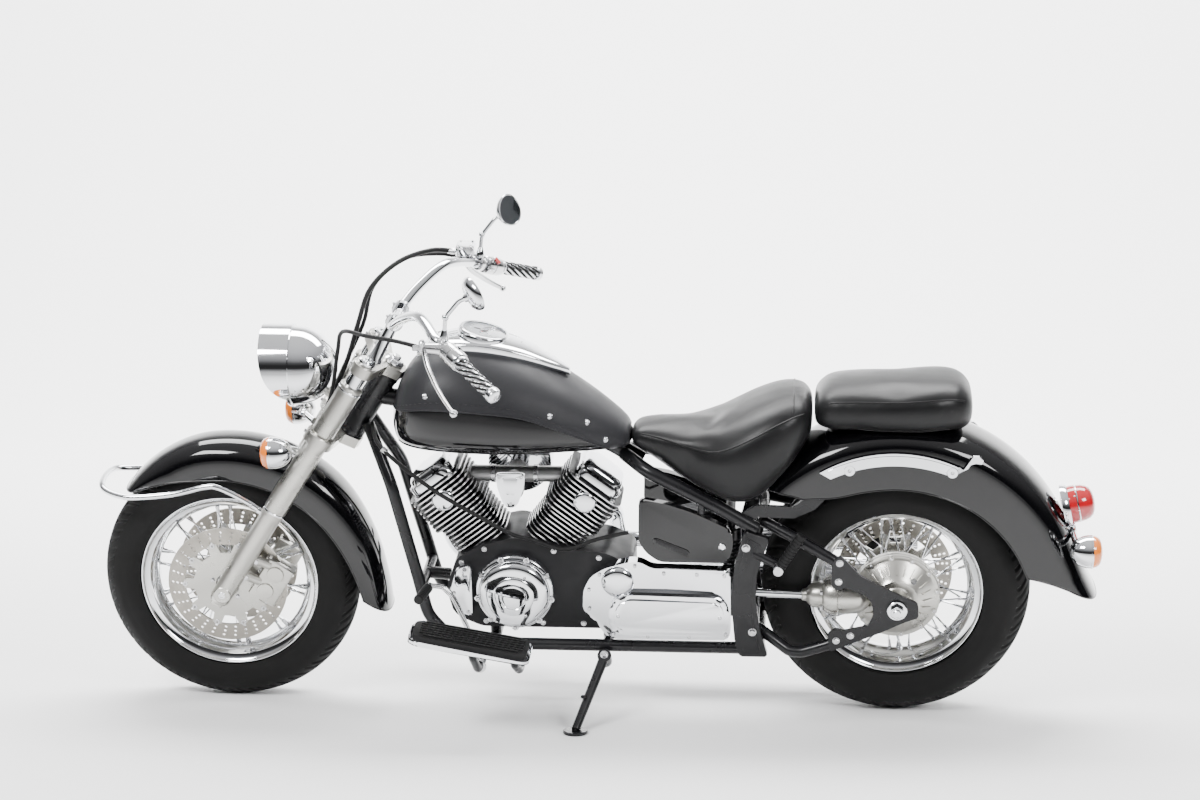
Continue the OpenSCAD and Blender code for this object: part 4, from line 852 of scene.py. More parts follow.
def build_mirrors():
    bm = bmesh.new()
    for side in (-1, 1):
        foot = flip(on_bar(-0.36, 1) + Vector((0, 0, 20)), side)
        pos = Vector((965, side * 352, 1168))
        normal = Vector((0.824, side * 0.4755, -0.309)).normalized()
        m = aim(pos, normal, (0, 0, 1))
        # teardrop head: wide at the outer top, drawn to a point towards the stem
        def drop(r, h):
            out = []
            for k in range(56):
                a = 2 * pi * k / 56
                grow = 1 + 0.10 * cos(a - side * 0.6)
                out.append(m @ Vector((r * cos(a) * grow * 0.94, r * sin(a) * (1.0 + 0.05 * sin(a)) * 0.88,
                                       h)))
            return out
        rings(bm, [drop(40, 2.2), drop(42.2, 0.3), drop(44.5, 0), drop(46, 1.6), drop(46, 4), drop(44, 10),
                   drop(39, 15.5), drop(31, 19.8), drop(20, 22), drop(8, 22.8)], 0, (False, True))
        rings(bm, [drop(42.1, 0.9), drop(0.5, 1.6)], 1, (False, True))
        path = [foot, foot + Vector((-6, side * 6, 54)), pos + Vector((40, side * -6, -20)),
                pos + Vector((15, side * 8, -6))]
        bent(bm, path, 5.2, 18, 0, 0.4)
        lathe(bm, [(0, -6), (10, -6), (11, -4), (11, 6), (9, 12), (7, 20), (6.2, 22)],
              aim(foot, (-0.1, side * .1, 1)), 28, 0)
        knee = path[1]
        lathe(bm, [(8.4 * sin(pi * k / 10), -8.4 * cos(pi * k / 10)) for k in range(11)],
              aim(knee, (0, 0, 1)), 20, 0)
        lathe(bm, [(5.6, -9), (9, -7), (9.5, 0), (8, 8), (5.6, 10)],
              aim(path[3] + Vector((3, 0, -1)), path[3] - path[2]), 20, 0)
    piece("mirrors_drop", bm, ["chrome", "mirror_glass"], "steering", ["mirrors"])


def build_headlight():
    bm = bmesh.new()
    pos = Vector((1462, 0, 873))
    m = aim(pos, (1, 0, 0), (0, 1, 0))
    r = 98
    bowl = [((r - 2) * cos(radians(a)), -6 - 100 * sin(radians(a))) for a in range(90, -1, -6)]
    lathe(bm, [(max(x, 0), h) for x, h in bowl] + [(r - 1, -4), (r - 1, -2)], m, 72, 0)
    lathe(bm, [(r - 3, -3), (r + 1.5, -3), (r + 3, -1), (r + 3, 4), (r + 1, 8), (r - 5, 11), (r - 9, 11),
               (r - 9, 4)],
          m, 72, 0, close=True)
    lathe(bm, [(0, 13.4), (30, 13), (60, 11.8), (80, 10.2), (r - 9, 8.5)], m, 72, 1)
    lathe(bm, [(0, -62), (18, -60), (45, -48), (70, -26), (r - 10, 2), (r - 9, 6)], m, 64, 2)
    lathe(bm, [(0, -30), (14, -30), (16, -34), (16, -60), (0, -60)], m, 32, 0)
    # the visor: a hood over the upper half, longest at the top
    loops = []
    steps, deep = 44, 10
    for i in range(steps + 1):
        a = radians(-128 + 256 * i / steps)
        reach = 6 + 66 * (1 - (abs(a) / radians(128)) ** 4) ** 0.8 if abs(a) < radians(127.9) else 6
        rows = []
        for k in range(deep + 1):
            h = reach * k / deep
            flare = r + 3.4 + 0.6 * k / deep
            rows.append((flare, h))
        rows += [(f - 2.2, h) for f, h in reversed(rows)]
        loops.append([pos + Vector((h, f * sin(a), f * cos(a))) for f, h in rows])
    rings(bm, loops, 0, (True, True))
    # seam screw, mount post and its base
    cap_screw(bm, pos + Vector((4, 0, -r - 1)), (0, 0, -1), 4, 3, 3)
    low = on_fork(LOWER_YOKE + 13.3, 49, 0)
    bent(bm, [low, on_fork(LOWER_YOKE + 63, 49, 0), Vector((1400, 0, 822))], 11, 20, 3, 0.4)
    lathe(bm, [(0, 0), (26, 0), (28, 3), (28, 8), (20, 12), (0, 14)],
          aim(on_fork(LOWER_YOKE + 13.3, 49, 0), STEER_UP), 32, 0)
    piece("headlight_bucket", bm, ["chrome", "clear_glass", "lamp_bowl", "satin_aluminium"], "steering",
          ["headlight"])


SIGNAL = [(0, 0), (12, 2), (20, 6.5), (26, 12), (32, 20), (36, 30), (38.4, 38), (39, 44), (39, 50)]
SIGNAL_LENS = [(39, 50), (39, 57), (37.4, 62), (34, 68), (28, 72.4), (20, 75), (9, 76.8), (0, 77)]


def signal(bm, pos, axis, chrome=0, lens=1):
    m = aim(pos, axis)
    lathe(bm, SIGNAL, m, 48, chrome)
    lathe(bm, [(38.6, 49), (39.4, 49.6), (39.6, 52), (39.4, 54), (38.6, 54.4)], m, 48, chrome)
    lathe(bm, [(r * 0.985, h) for r, h in SIGNAL_LENS], m, 48, lens)
    for k in range(1, 5):
        lathe(bm, [(36 - 6 * k, 66 + k * 2.1), (35 - 6 * k, 68.2 + k * 2.1),
                   (33.4 - 6 * k, 67.6 + k * 2.1)], m, 40, lens)


def build_front_signals():
    bm = bmesh.new()
    for side in (-1, 1):
        pos = Vector((1446, side * 158, 704))
        signal(bm, pos, (1, 0, 0))
        rod(bm, Vector((1470, side * 125, 704)), on_fork(LOWER_YOKE - 60, FORK_OFFSET + 29.5, side * 108),
            9, n=24, mat=0)
        lathe(bm, [(9, 0), (13, 1), (13, 6), (9, 8)],
              aim(Vector((1472, side * 122, 704)), (-1, -side * .2, 0)), 24, 0)
    piece("front_signals_lens", bm, ["chrome", "amber_lens"], "steering", ["front_turn_signals"])


# ---------- fenders ----------

FRONT_FENDER_ROWS = [
    [45, -28, 322, 50], [60, -16, 302, 62], [78, -4, 282, 78], [95, 0, 278, 95],
    [115, 4, 280, 115], [136, 8, 288, 136], [158, 6, 300, 156], [174, 12, 316, 171],
    [184, 22, 330, 180], [191, 33, 342, 186]]
REAR_FENDER_ROWS = [
    [40, 0, 345, 49], [58, 0, 306, 60], [75, 0, 292, 75], [95, 0, 288, 95],
    [115, 0, 290, 115], [133, 0, 296, 132], [150, 1, 303, 147], [163, 5, 309, 157],
    [173, 20, 313, 164], [180.5, 45, 317, 168]]


def fender_point(pos, row, crown, half, w, inset=0.0):
    """A point of a fender's skin: w runs from -1 at one valance's edge over the crown to 1."""
    a, rc, rv, b = row[0], crown + row[1], row[2], row[3]
    shoulder = max(rc - 62, rv + 8)
    side = 1 if w > 0 else -1
    if abs(w) > 0.55:
        t = (abs(w) - 0.55) / 0.45
        y, r = half, shoulder + (rv - shoulder) * t
    else:
        q = radians(90 * (1 - abs(w) / 0.55))
        y, r = half * swell(cos(q), 0.82), shoulder + (rc - shoulder) * swell(sin(q), 0.82)
    y, r2 = y * (half - inset) / half, r - (inset if abs(w) <= 0.55 else 0)
    turn = radians(a + (b - a) * (rc - r) / (rc - rv))
    return Vector((pos[0] + r2 * cos(turn), side * y, pos[2] + r2 * sin(turn)))


def build_fender(name, pos, rows, crown, half, body, node):
    bm = bmesh.new()
    fine = smooth(rows, 8)
    ws = [-1, -.9, -.8, -.7, -.6, -.55] + [-.55 + .55 * k / 14 for k in range(1, 28)] + [.55, .6, .7, .8,
                                                                                         .9, 1]
    loops = []
    for row in fine:
        outer = [fender_point(pos, row, crown, half, w) for w in ws]
        inner = [fender_point(pos, row, crown, half, w, 3) for w in ws]
        loops.append(outer + inner[::-1])
    rings(bm, loops, 0, (True, True))
    # rolled edge along both valances and round both ends
    for w in (-1, 1):
        line = [fender_point(pos, row, crown, half, w, 1.5) for row in fine]
        tube(bm, line[::3] + [line[-1]], 2.6, 10, 3)
    for row in (fine[0], fine[-1]):
        line = [fender_point(pos, row, crown, half, w, 1.5) for w in ws]
        tube(bm, line, 2.4, 10, 2)
    return piece(name, bm, ["gloss_black_paint"], body, [node], sharp=45)


def build_fenders():
    build_fender("front_fender_shell", FRONT_AXLE, FRONT_FENDER_ROWS, 374, 79, "steering", "front_fender")
    build_fender("rear_fender_shell", REAR_AXLE, REAR_FENDER_ROWS, 440, 116, "chassis", "rear_fender")

    bm = bmesh.new()
    y = 104
    half = [(1530, y, 523), (1572, y, 554), (1640, y, 590), (1680, y, 592), (1760, y, 572), (1860, y, 562),
            (1915, y - 16, 566), (1944, 60, 574), (1952, 0, 577)]
    tube(bm, half + [flip(p, -1) for p in reversed(half[:-1])], 7.5, 20, 5, 0, up=(.2, .1, 1))
    for side in (-1, 1):
        cap_screw(bm, Vector((1566, side * 111, 549)), (0, side, 0), 4.5, 3, 1)
        lathe(bm, [(7.5, -6), (10, -5), (10.5, 0), (10, 5), (7.5, 6)],
              aim(Vector((1545, side * 104, 534)), (.8, 0, .6)), 20, 0)
    piece("fender_guard_tube", bm, ["chrome", "bolt_steel"], "steering", ["fender_guard"])

    # the chrome rails on the rear fender
    bm = bmesh.new()
    line = [(8 + 361 * cos(radians(a)), REAR_AXLE.z + 384 * sin(radians(a))) for a in range(60, 117, 2)]
    line += [(-172, 707), (-186, 706), (-196, 697), (-192, 688), (-178, 690), (-166, 686), (-160, 676),
             (-150, 671), (-140, 680)]
    line += [(8 + 352 * cos(radians(a)), REAR_AXLE.z + 353 * sin(radians(a))) for a in range(112, 63, -2)]
    for side in (-1, 1):
        holes = [[(x + 4.2 * cos(-q), z + 4.2 * sin(-q)) for q in [2 * pi * k / 20 for k in range(20)]]
                 for x, z in ((118, 668), (-124, 666))]
        slab(bm, line, 116.4, 126.6, 0, 0, 0, holes, side=side)
        inner = [(8 + 366 * cos(radians(a)), REAR_AXLE.z + 378 * sin(radians(a))) for a in range(64, 113,
                                                                                                 2)]
        inner += [(8 + 360 * cos(radians(a)), REAR_AXLE.z + 360 * sin(radians(a))) for a in range(110, 65,
                                                                                                  -2)]
        slab(bm, [p for p in inner], 126, 128.6, 0, 1.2, 0, side=side)
        for x, z in ((118, 668), (-124, 666)):
            lathe(bm, [(4.3, 8), (12, 8), (14, 9.5), (14, 11.5), (12.5, 13.5), (4.3, 13.5)],
                  aim(Vector((x, side * 116, z)), (0, side, 0)), 32, 0)
            lathe(bm, [(0, 12.6), (3.9, 12.6), (3.9, 13), (3, 13.6), (0, 13.6)],
                  aim(Vector((x, side * 116, z)), (0, side, 0)), 16, 1)
    piece("fender_rails_chrome", bm, ["chrome", "bolt_steel"], "chassis", ["fender_rails"])

    bm = bmesh.new()
    back = radians(-78)
    axis = Vector((sin(back), 0, cos(back)))
    lamp = aim(Vector((-404, 0, 538)), axis)
    lathe(bm, [(0, 10), (40, 8), (45, 9), (46, 14), (45.4, 28), (43.6, 42), (40, 53), (34, 61), (24, 66.5),
               (12, 69.4), (0, 70)], lamp, 64, 1)
    lathe(bm, [(38, 0), (52, 0), (52.6, 4), (51, 12), (48, 17), (45, 18), (44, 12), (38, 10)],
          aim(Vector((-396, 0, 536)), axis), 64, 0, close=True)
    lathe(bm, [(45.4, 27), (46.4, 28.4), (46.4, 30), (45.2, 31)], lamp, 64, 0)
    for a in range(0, 360, 90):
        cap_screw(bm, lamp @ Vector((43 * cos(radians(a + 45)), 43 * sin(radians(a + 45)), 24)), axis, 3,
                  3, 3)
    block(bm, (30, 60, 34), aim(Vector((-412, 0, 486)), axis), 0, 4, 8)
    for side in (-1, 1):
        signal(bm, Vector((-402, side * 158, 484)), (-1, 0, 0), 0, 2)
        rod(bm, Vector((-424, side * 130, 484)), Vector((-420, side * -1, 480)), 9, n=24, mat=0)
    piece("rear_lamps", bm, ["chrome", "red_lens", "amber_lens", "bolt_steel"], "chassis", ["rear_lights"])


# ---------- tank ----------

TANK_ROWS = [
    [640, 0.16, 700, 708, 716], [656, 0.36, 690, 714, 744], [700, 0.54, 684, 722, 783],
    [752, 0.69, 682, 732, 822], [817, 0.84, 680, 742, 864], [882, 0.94, 678, 748, 898],
    [947, 0.99, 676, 752, 924], [1010, 1.0, 676, 756, 938], [1075, 0.99, 678, 760, 938],
    [1130, 0.93, 680, 764, 920], [1172, 0.80, 684, 764, 884], [1200, 0.60, 692, 760, 840],
    [1216, 0.32, 712, 756, 796]]
TANK_HALF = 166
BIB_LINE = [[1226, 786], [1188, 802], [1110, 818], [980, 812], [883, 796], [785, 752],
            [720, 716], [681, 690], [630, 660]]


def section(row, w_scale, grow, q, side_e, top_e):
    x, w, z0, zm, z1 = row[0], row[1] * w_scale + grow, row[2] - grow, row[3], row[4] + grow
    s = sin(q)
    return Vector((x, w * swell(cos(q), side_e),
                   zm + ((z1 - zm) if s > 0 else (zm - z0)) * swell(s, top_e)))


def build_tank():
    bm = bmesh.new()
    rows = smooth(TANK_ROWS, 6)
    n = 96
    loops = [[section(r, TANK_HALF, 0, 2 * pi * k / n, 0.92, 0.86) for k in range(n)] for r in rows]
    rings(bm, loops, 0)
    # the welded flange along the bottom of each side
    for side in (-1, 1):
        q = radians(-42) if side > 0 else radians(222)
        tube(bm, [section(r, TANK_HALF, 0.6, q, 0.92, 0.86) for r in rows[6:-6:4]], 2.2, 8, 4)
    piece("tank_shell", bm, ["gloss_black_paint"], "chassis", ["fuel_tank"], sharp=60)

    # bib: leather over the top, with rolled edges, seams and press studs
    bm = bmesh.new()
    line = sorted(smooth(BIB_LINE, 6), key=lambda p: p[0])

    def line_z(x):
        for a, b in zip(line, line[1:]):
            if a[0] <= x <= b[0]:
                return a[1] + (b[1] - a[1]) * (x - a[0]) / max(b[0] - a[0], 1e-6)
        return line[0][1] if x < line[0][0] else line[-1][1]

    def q_edge(row, grow):
        z, zm = line_z(row[0]), row[3]
        top, low = row[4] + grow - zm, zm - row[2] + grow
        v = (z - zm) / top if z > zm else (zm - z) / low
        return asin_safe(v ** (1 / 0.86)) * (1 if z > zm else -1)

    use = [r for r in rows if line_z(r[0]) < r[4] + 3 and 645 < r[0] < 1214]
    cols = 60
    loops, rims = [], {1: [], -1: []}
    for r in use:
        q0 = q_edge(r, 4.3)
        qs = [q0 + (pi - 2 * q0) * k / cols for k in range(cols + 1)]
        outer = []
        for q in qs:
            edge = min(q - qs[0], qs[-1] - q) / 0.12
            outer.append(section(r, TANK_HALF, 4.6 - 1.2 * max(0, 1 - edge) ** 2, q, 0.92, 0.86))
        inner = [section(r, TANK_HALF, 0.4, q, 0.92, 0.86) for q in qs]
        loops.append(outer + inner[::-1])
        for side, q in ((1, qs[0]), (-1, qs[-1])):
            rims[side].append(section(r, TANK_HALF, 2.6, q, 0.92, 0.86))
    rings(bm, loops, 0, (True, True))
    for side in (1, -1):
        tube(bm, rims[side][::3] + [rims[side][-1]], 2.8, 10, 3, 0)
        seam = []
        for r in use[::4]:
            q = q_edge(r, 4.3) + 0.10
            seam.append(section(r, TANK_HALF, 4.9, q if side > 0 else pi - q, 0.92, 0.86))
        dashes = smooth([list(p) for p in seam], 5)
        for a, b in list(zip(dashes, dashes[1:]))[::2]:
            rod(bm, a, b, 0.7, n=6, mat=1, edge=0.1)
        for x in (700, 742, 830, 960, 1120):
            r = min(use, key=lambda v: abs(v[0] - x))
            q = q_edge(r, 4.3) + (0.2 if x > 760 else 0.45)
            q = q if side > 0 else pi - q
            p, out = section(r, TANK_HALF, 4.6, q, 0.92, 0.86), section(r, TANK_HALF, 14.6, q, 0.92, 0.86)
            lathe(bm, [(0, -1), (6.5, -1), (7, 0.6), (6, 1.4), (5, 1.2), (4.4, 2.6), (2.6, 3.8), (0, 4.2)],
                  aim(p, out - p), 24, 2)
    piece("tank_bib_leather", bm, ["bib_leather", "black_plastic", "chrome"], "chassis", ["tank_bib"],
          sharp=60)

    bm = bmesh.new()
    rows = smooth([[790, 8, 856, 870, 874], [830, 30, 866, 890, 900], [900, 54, 876, 922, 936],
                   [980, 68, 880, 944, 958], [1060, 66, 880, 946, 962], [1120, 50, 880, 930, 950],
                   [1158, 22, 880, 905, 918]], 8)
    rings(bm, [[section(r, 1, 0, 2 * pi * k / 64, 0.9, 0.9) for k in range(64)] for r in rows], 0)
    # rim bead where the console meets the bib
    dial = Matrix.Translation((1000, 0, 944)) @ Matrix.Rotation(radians(-14), 4, 'Y')
    lathe(bm, [(62, 6), (62.6, 12), (62, 20), (60, 24.6), (56, 26.4), (53, 25.4), (52, 22), (52, 14)],
          dial, 72, 0)
    lathe(bm, [(0, 15), (52.4, 15)], dial, 72, 1)
    lathe(bm, [(0, 25.4), (20, 25.2), (40, 24), (52.6, 22)], dial, 64, 2)
    for k in range(37):
        a = radians(-45 + 270 * k / 36)
        long = 7 if k % 4 == 0 else 3.5
        m = dial @ Matrix.Rotation(a, 4, 'Z') @ Matrix.Translation((47 - long / 2, 0, 15.5))
        plate(bm, [(-long / 2, -.5), (long / 2, -.5), (long / 2, .5), (-long / 2, .5)], [], 0, .4, m, 3)
    needle = dial @ Matrix.Rotation(radians(225), 4, 'Z') @ Matrix.Translation((0, 0, 16.4))
    plate(bm, [(-8, -1.6), (36, -.5), (36, .5), (-8, 1.6)], [], 0, 1, needle, 4)
    lathe(bm, [(0, 16), (6, 16), (6, 18.4), (5, 19.4), (0, 19.6)], dial, 24, 3)
    plate(bm, rounded([(-14, -26), (-6, -26), (-6, -10), (-14, -10)], 2), [], 15.2, 15.6,
          dial @ Matrix.Rotation(radians(90), 4, 'Z'), 3)
    # filler cap with a key slot behind the dial, and lamp strip ahead of it
    cap = Matrix.Translation((1098, 0, 950)) @ Matrix.Rotation(radians(8), 4, 'Y')
    lathe(bm, [(17, 0), (17.5, 6), (16, 9.4), (13, 10.6), (12.4, 9.6), (6, 9.8), (5, 10.6), (0, 10.6)],
          cap, 40, 0)
    plate(bm, [(-4, -.9), (4, -.9), (4, .9), (-4, .9)], [], 10.4, 10.9, cap, 3)
    for dy in (-15, -5, 5, 15):
        lathe(bm, [(3.4, 1), (3.6, 3.5), (3, 4.4), (0, 4.8)],
              Matrix.Translation((906, dy, 934 - abs(dy) * .14)) @ Matrix.Rotation(radians(-24), 4, 'Y'),
              18, 3)
    piece("tank_console_dial", bm, ["chrome", "dial_face", "clear_glass", "black_plastic", "red_plastic"],
          "chassis", ["tank_console"], sharp=45)


def asin_safe(v):
    return atan2(v, sqrt(max(1e-9, 1 - min(v, 1.0) ** 2)))


# ---------- seats ----------

RIDER_ROWS = [
    [639.6, 46, 696, 716, 730], [620, 66, 688, 716, 746], [566, 90, 655, 706, 744],
    [503, 118, 612, 690, 734], [449, 150, 580, 684, 740], [404, 168, 560, 690, 762],
    [350, 172, 556, 705, 798], [296, 162, 600, 735, 824], [251, 142, 660, 760, 834],
    [224, 116, 706, 772, 826], [208, 88, 742, 778, 802]]
PILLION_ROWS = [
    [202, 82, 752, 790, 818], [170, 112, 742, 800, 850], [98, 124, 738, 806, 858],
    [8, 130, 736, 808, 860], [-64, 130, 736, 812, 866], [-118, 120, 738, 812, 868],
    [-152, 100, 744, 806, 856], [-171, 70, 760, 800, 830]]


def puffed_pad(name, node, fill, cap):
    """The CAD pad's own form, remeshed, filled like a cushion and smoothed."""
    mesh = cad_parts[node].data.copy()
    mesh.name = name
    obj = bpy.data.objects.new(name, mesh)
    bpy.context.scene.collection.objects.link(obj)
    remesh = obj.modifiers.new("remesh", 'REMESH')
    remesh.mode, remesh.voxel_size = 'VOXEL', 0.006
    ease = obj.modifiers.new("ease", 'SMOOTH')
    ease.factor, ease.iterations = 0.5, 12
    apply_modifiers(obj)
    start = [v.co.copy() for v in obj.data.vertices]
    cloth = obj.modifiers.new("cloth", 'CLOTH')
    cloth.settings.use_pressure = True
    cloth.settings.uniform_pressure_force = fill
    cloth.settings.quality = 4
    cloth.settings.tension_stiffness = 60
    cloth.settings.compression_stiffness = 60
    cloth.settings.bending_stiffness = 30
    cloth.settings.effector_weights.gravity = 0
    cloth.point_cache.frame_start, cloth.point_cache.frame_end = 1, 20
    for f in range(1, 21):
        bpy.context.scene.frame_set(f)
    apply_modifiers(obj)
    for v, s in zip(obj.data.vertices, start):
        move = v.co - s
        v.co = s + move.normalized() * min(move.length, cap) if move.length > 1e-7 else s
    bpy.context.scene.frame_set(1)
    settle = obj.modifiers.new("settle", 'SMOOTH')
    settle.factor, settle.iterations = 0.5, 30
    finer = obj.modifiers.new("finer", 'SUBSURF')
    finer.levels = finer.render_levels = 1
    apply_modifiers(obj)
    for p in obj.data.polygons:
        p.use_smooth = True
    obj.data.materials.clear()
    obj.data.materials.append(finish("seat_leather"))
    return obj


def apply_modifiers(obj):
    dg = bpy.context.evaluated_depsgraph_get()
    dg.update()
    mesh = bpy.data.meshes.new_from_object(obj.evaluated_get(dg))
    obj.modifiers.clear()
    old = obj.data
    obj.data = mesh
    bpy.data.meshes.remove(old)


def seam_on(obj, bm, points, r, stitches=0.0, mat=0, lift=0.0):
    """Piping laid on a pad's surface along points, with stitches beside it."""
    tree = BVHTree.FromObject(obj, bpy.context.evaluated_depsgraph_get())
    fine = smooth([list(p) for p in points], 6)
    line = []
    for p in fine:
        q = UPRIGHT_TO_ROW @ Vector(p)
        spot, normal, _, _ = tree.find_nearest(q)
        line.append(UPRIGHT_TO_ROW.inverted() @ (spot + normal * lift * 0.001))
    tube(bm, line, r, 10, 1, mat)
    if stitches:
        for a, b in list(zip(line, line[1:]))[::2]:
            d = Vector((0, 0, stitches))
            rod(bm, a + d, b + d, 0.8, n=6, mat=mat, edge=0.1)


def build_seats():
    for name, node, rows, fill in (("rider_seat_pad", "rider_seat", RIDER_ROWS, 0.7),
                                   ("passenger_seat_pad", "passenger_seat", PILLION_ROWS, 0.65)):
        obj = puffed_pad(name, node, looks().seat_pressure, 0.022)
        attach(obj, "chassis")
        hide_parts(node)
        bm = bmesh.new()
        for side in (1, -1):
            upper = []
            for r in rows[1:-1]:
                q = radians(26)
                upper.append(section(r, 1, 0, q if side > 0 else pi - q, 0.8, 0.72))
            seam_on(obj, bm, upper, 2.0, 0.0, 0, 0.3)
            low = [section(r, 1, 0, radians(-40 if side > 0 else 220), 0.8, 0.72) for r in rows[2:-2]]
            seam_on(obj, bm, low, 1.6, 0.0, 0, 0.1)
        if node == "rider_seat":
            arc = [section(rows[8], 1, 0, radians(a), 0.8, 0.72) for a in range(30, 151, 12)]
            seam_on(obj, bm, arc, 1.8, 0.0, 0, 0.2)
        piece(name + "_piping", bm, ["seat_leather"], "chassis")


# ---------- engine ----------

HEAD_HALF, HEAD_SIDE = 78, 84


def build_cylinders():
    for name, lean, keep, node in (("front_cylinder_finned", 37.5, 1, "front_cylinder"),
                                   ("rear_cylinder_finned", -37.5, -1, "rear_cylinder")):
        bm = bmesh.new()
        m = Matrix.Translation(CRANK) @ Matrix.Rotation(radians(lean), 4, 'Y')
        lathe(bm, [(0, 118), (54, 118), (54, 330), (0, 330)], m, 48, 0)

        def fin(x, y, z, t, mat=0, rim=1, corner=18):
            pts = rounded([(-x, -y + 20), (-x + 18, -y), (x - 18, -y), (x, -y + 20), (x, y - 20),
                           (x - 18, y), (-x + 18, y), (-x, y - 20)], corner, 3)
            plate(bm, pts, [], z, z + t, m, mat, 0, rim)
        for k in range(8):
            fin(HEAD_HALF - 10, HEAD_SIDE - 10, 128 + k * 11.5, 3)
        fin(HEAD_HALF - 8, HEAD_SIDE - 8, 217, 4, 0, 0)
        for k in range(9):
            fin(HEAD_HALF, HEAD_SIDE, 222 + k * 12, 3.4)
        # rocker cover: stepped and domed, with bolts at its corners
        def cover(x, y, z):
            return [m @ Vector((p[0], p[1], z)) for p in rounded(
                [(-x, -y + 16), (-x + 14, -y), (x - 14, -y), (x, -y + 16), (x, y - 16), (x - 14, y),
                 (-x + 14, y), (-x, y - 16)], 12, 4)]
        rings(bm, [cover(62, 66, 324), cover(62, 66, 340), cover(60, 64, 345), cover(55, 58, 348),
                   cover(53, 55.6, 356), cover(49, 51, 361), cover(40, 42, 363.6), cover(20, 22, 364.6)], 2)
        for dx in (-1, 1):
            for dy in (-1, 0, 1):
                bolt(bm, m @ Vector((dx * 54, dy * 52, 342)), m.to_3x3() @ Vector((0, 0, 1)), 4.6, 5, 3)
        # plate on the left of the head, over the cam chain, with its screws
        side_m = m @ Matrix.Translation((0, HEAD_SIDE - 8, 282)) @ Matrix.Rotation(radians(-90), 4, 'X')
        lathe(bm, [(0, 13), (20, 13), (25, 11.4), (28, 8), (29, 3), (29, -10)], side_m, 44, 2)
        for x, y in circle(3, 22, 30):
            cap_screw(bm, side_m @ Vector((x, y, 11.6)), side_m.to_3x3() @ Vector((0, 0, 1)), 3.4, 3, 3)
        # oil line banjo and head bolts between the fins
        for dx, dz in ((-52, 322), (52, 322)):
            bolt(bm, m @ Vector((dx, HEAD_SIDE - 12, dz)), m.to_3x3() @ Vector((0, 1, 0)), 5, 9, 3)
        geom = bm.verts[:] + bm.edges[:] + bm.faces[:]
        bmesh.ops.bisect_plane(bm, geom=geom, plane_co=(CRANK.x + (0 if keep > 0 else -.3), 0, 0),
                               plane_no=(keep, 0, 0),
                               clear_inner=True)
        piece(name, bm, ["cylinder_black", "fin_edge", "chrome", "bolt_steel"], "chassis", [node],
              clean=0.01)


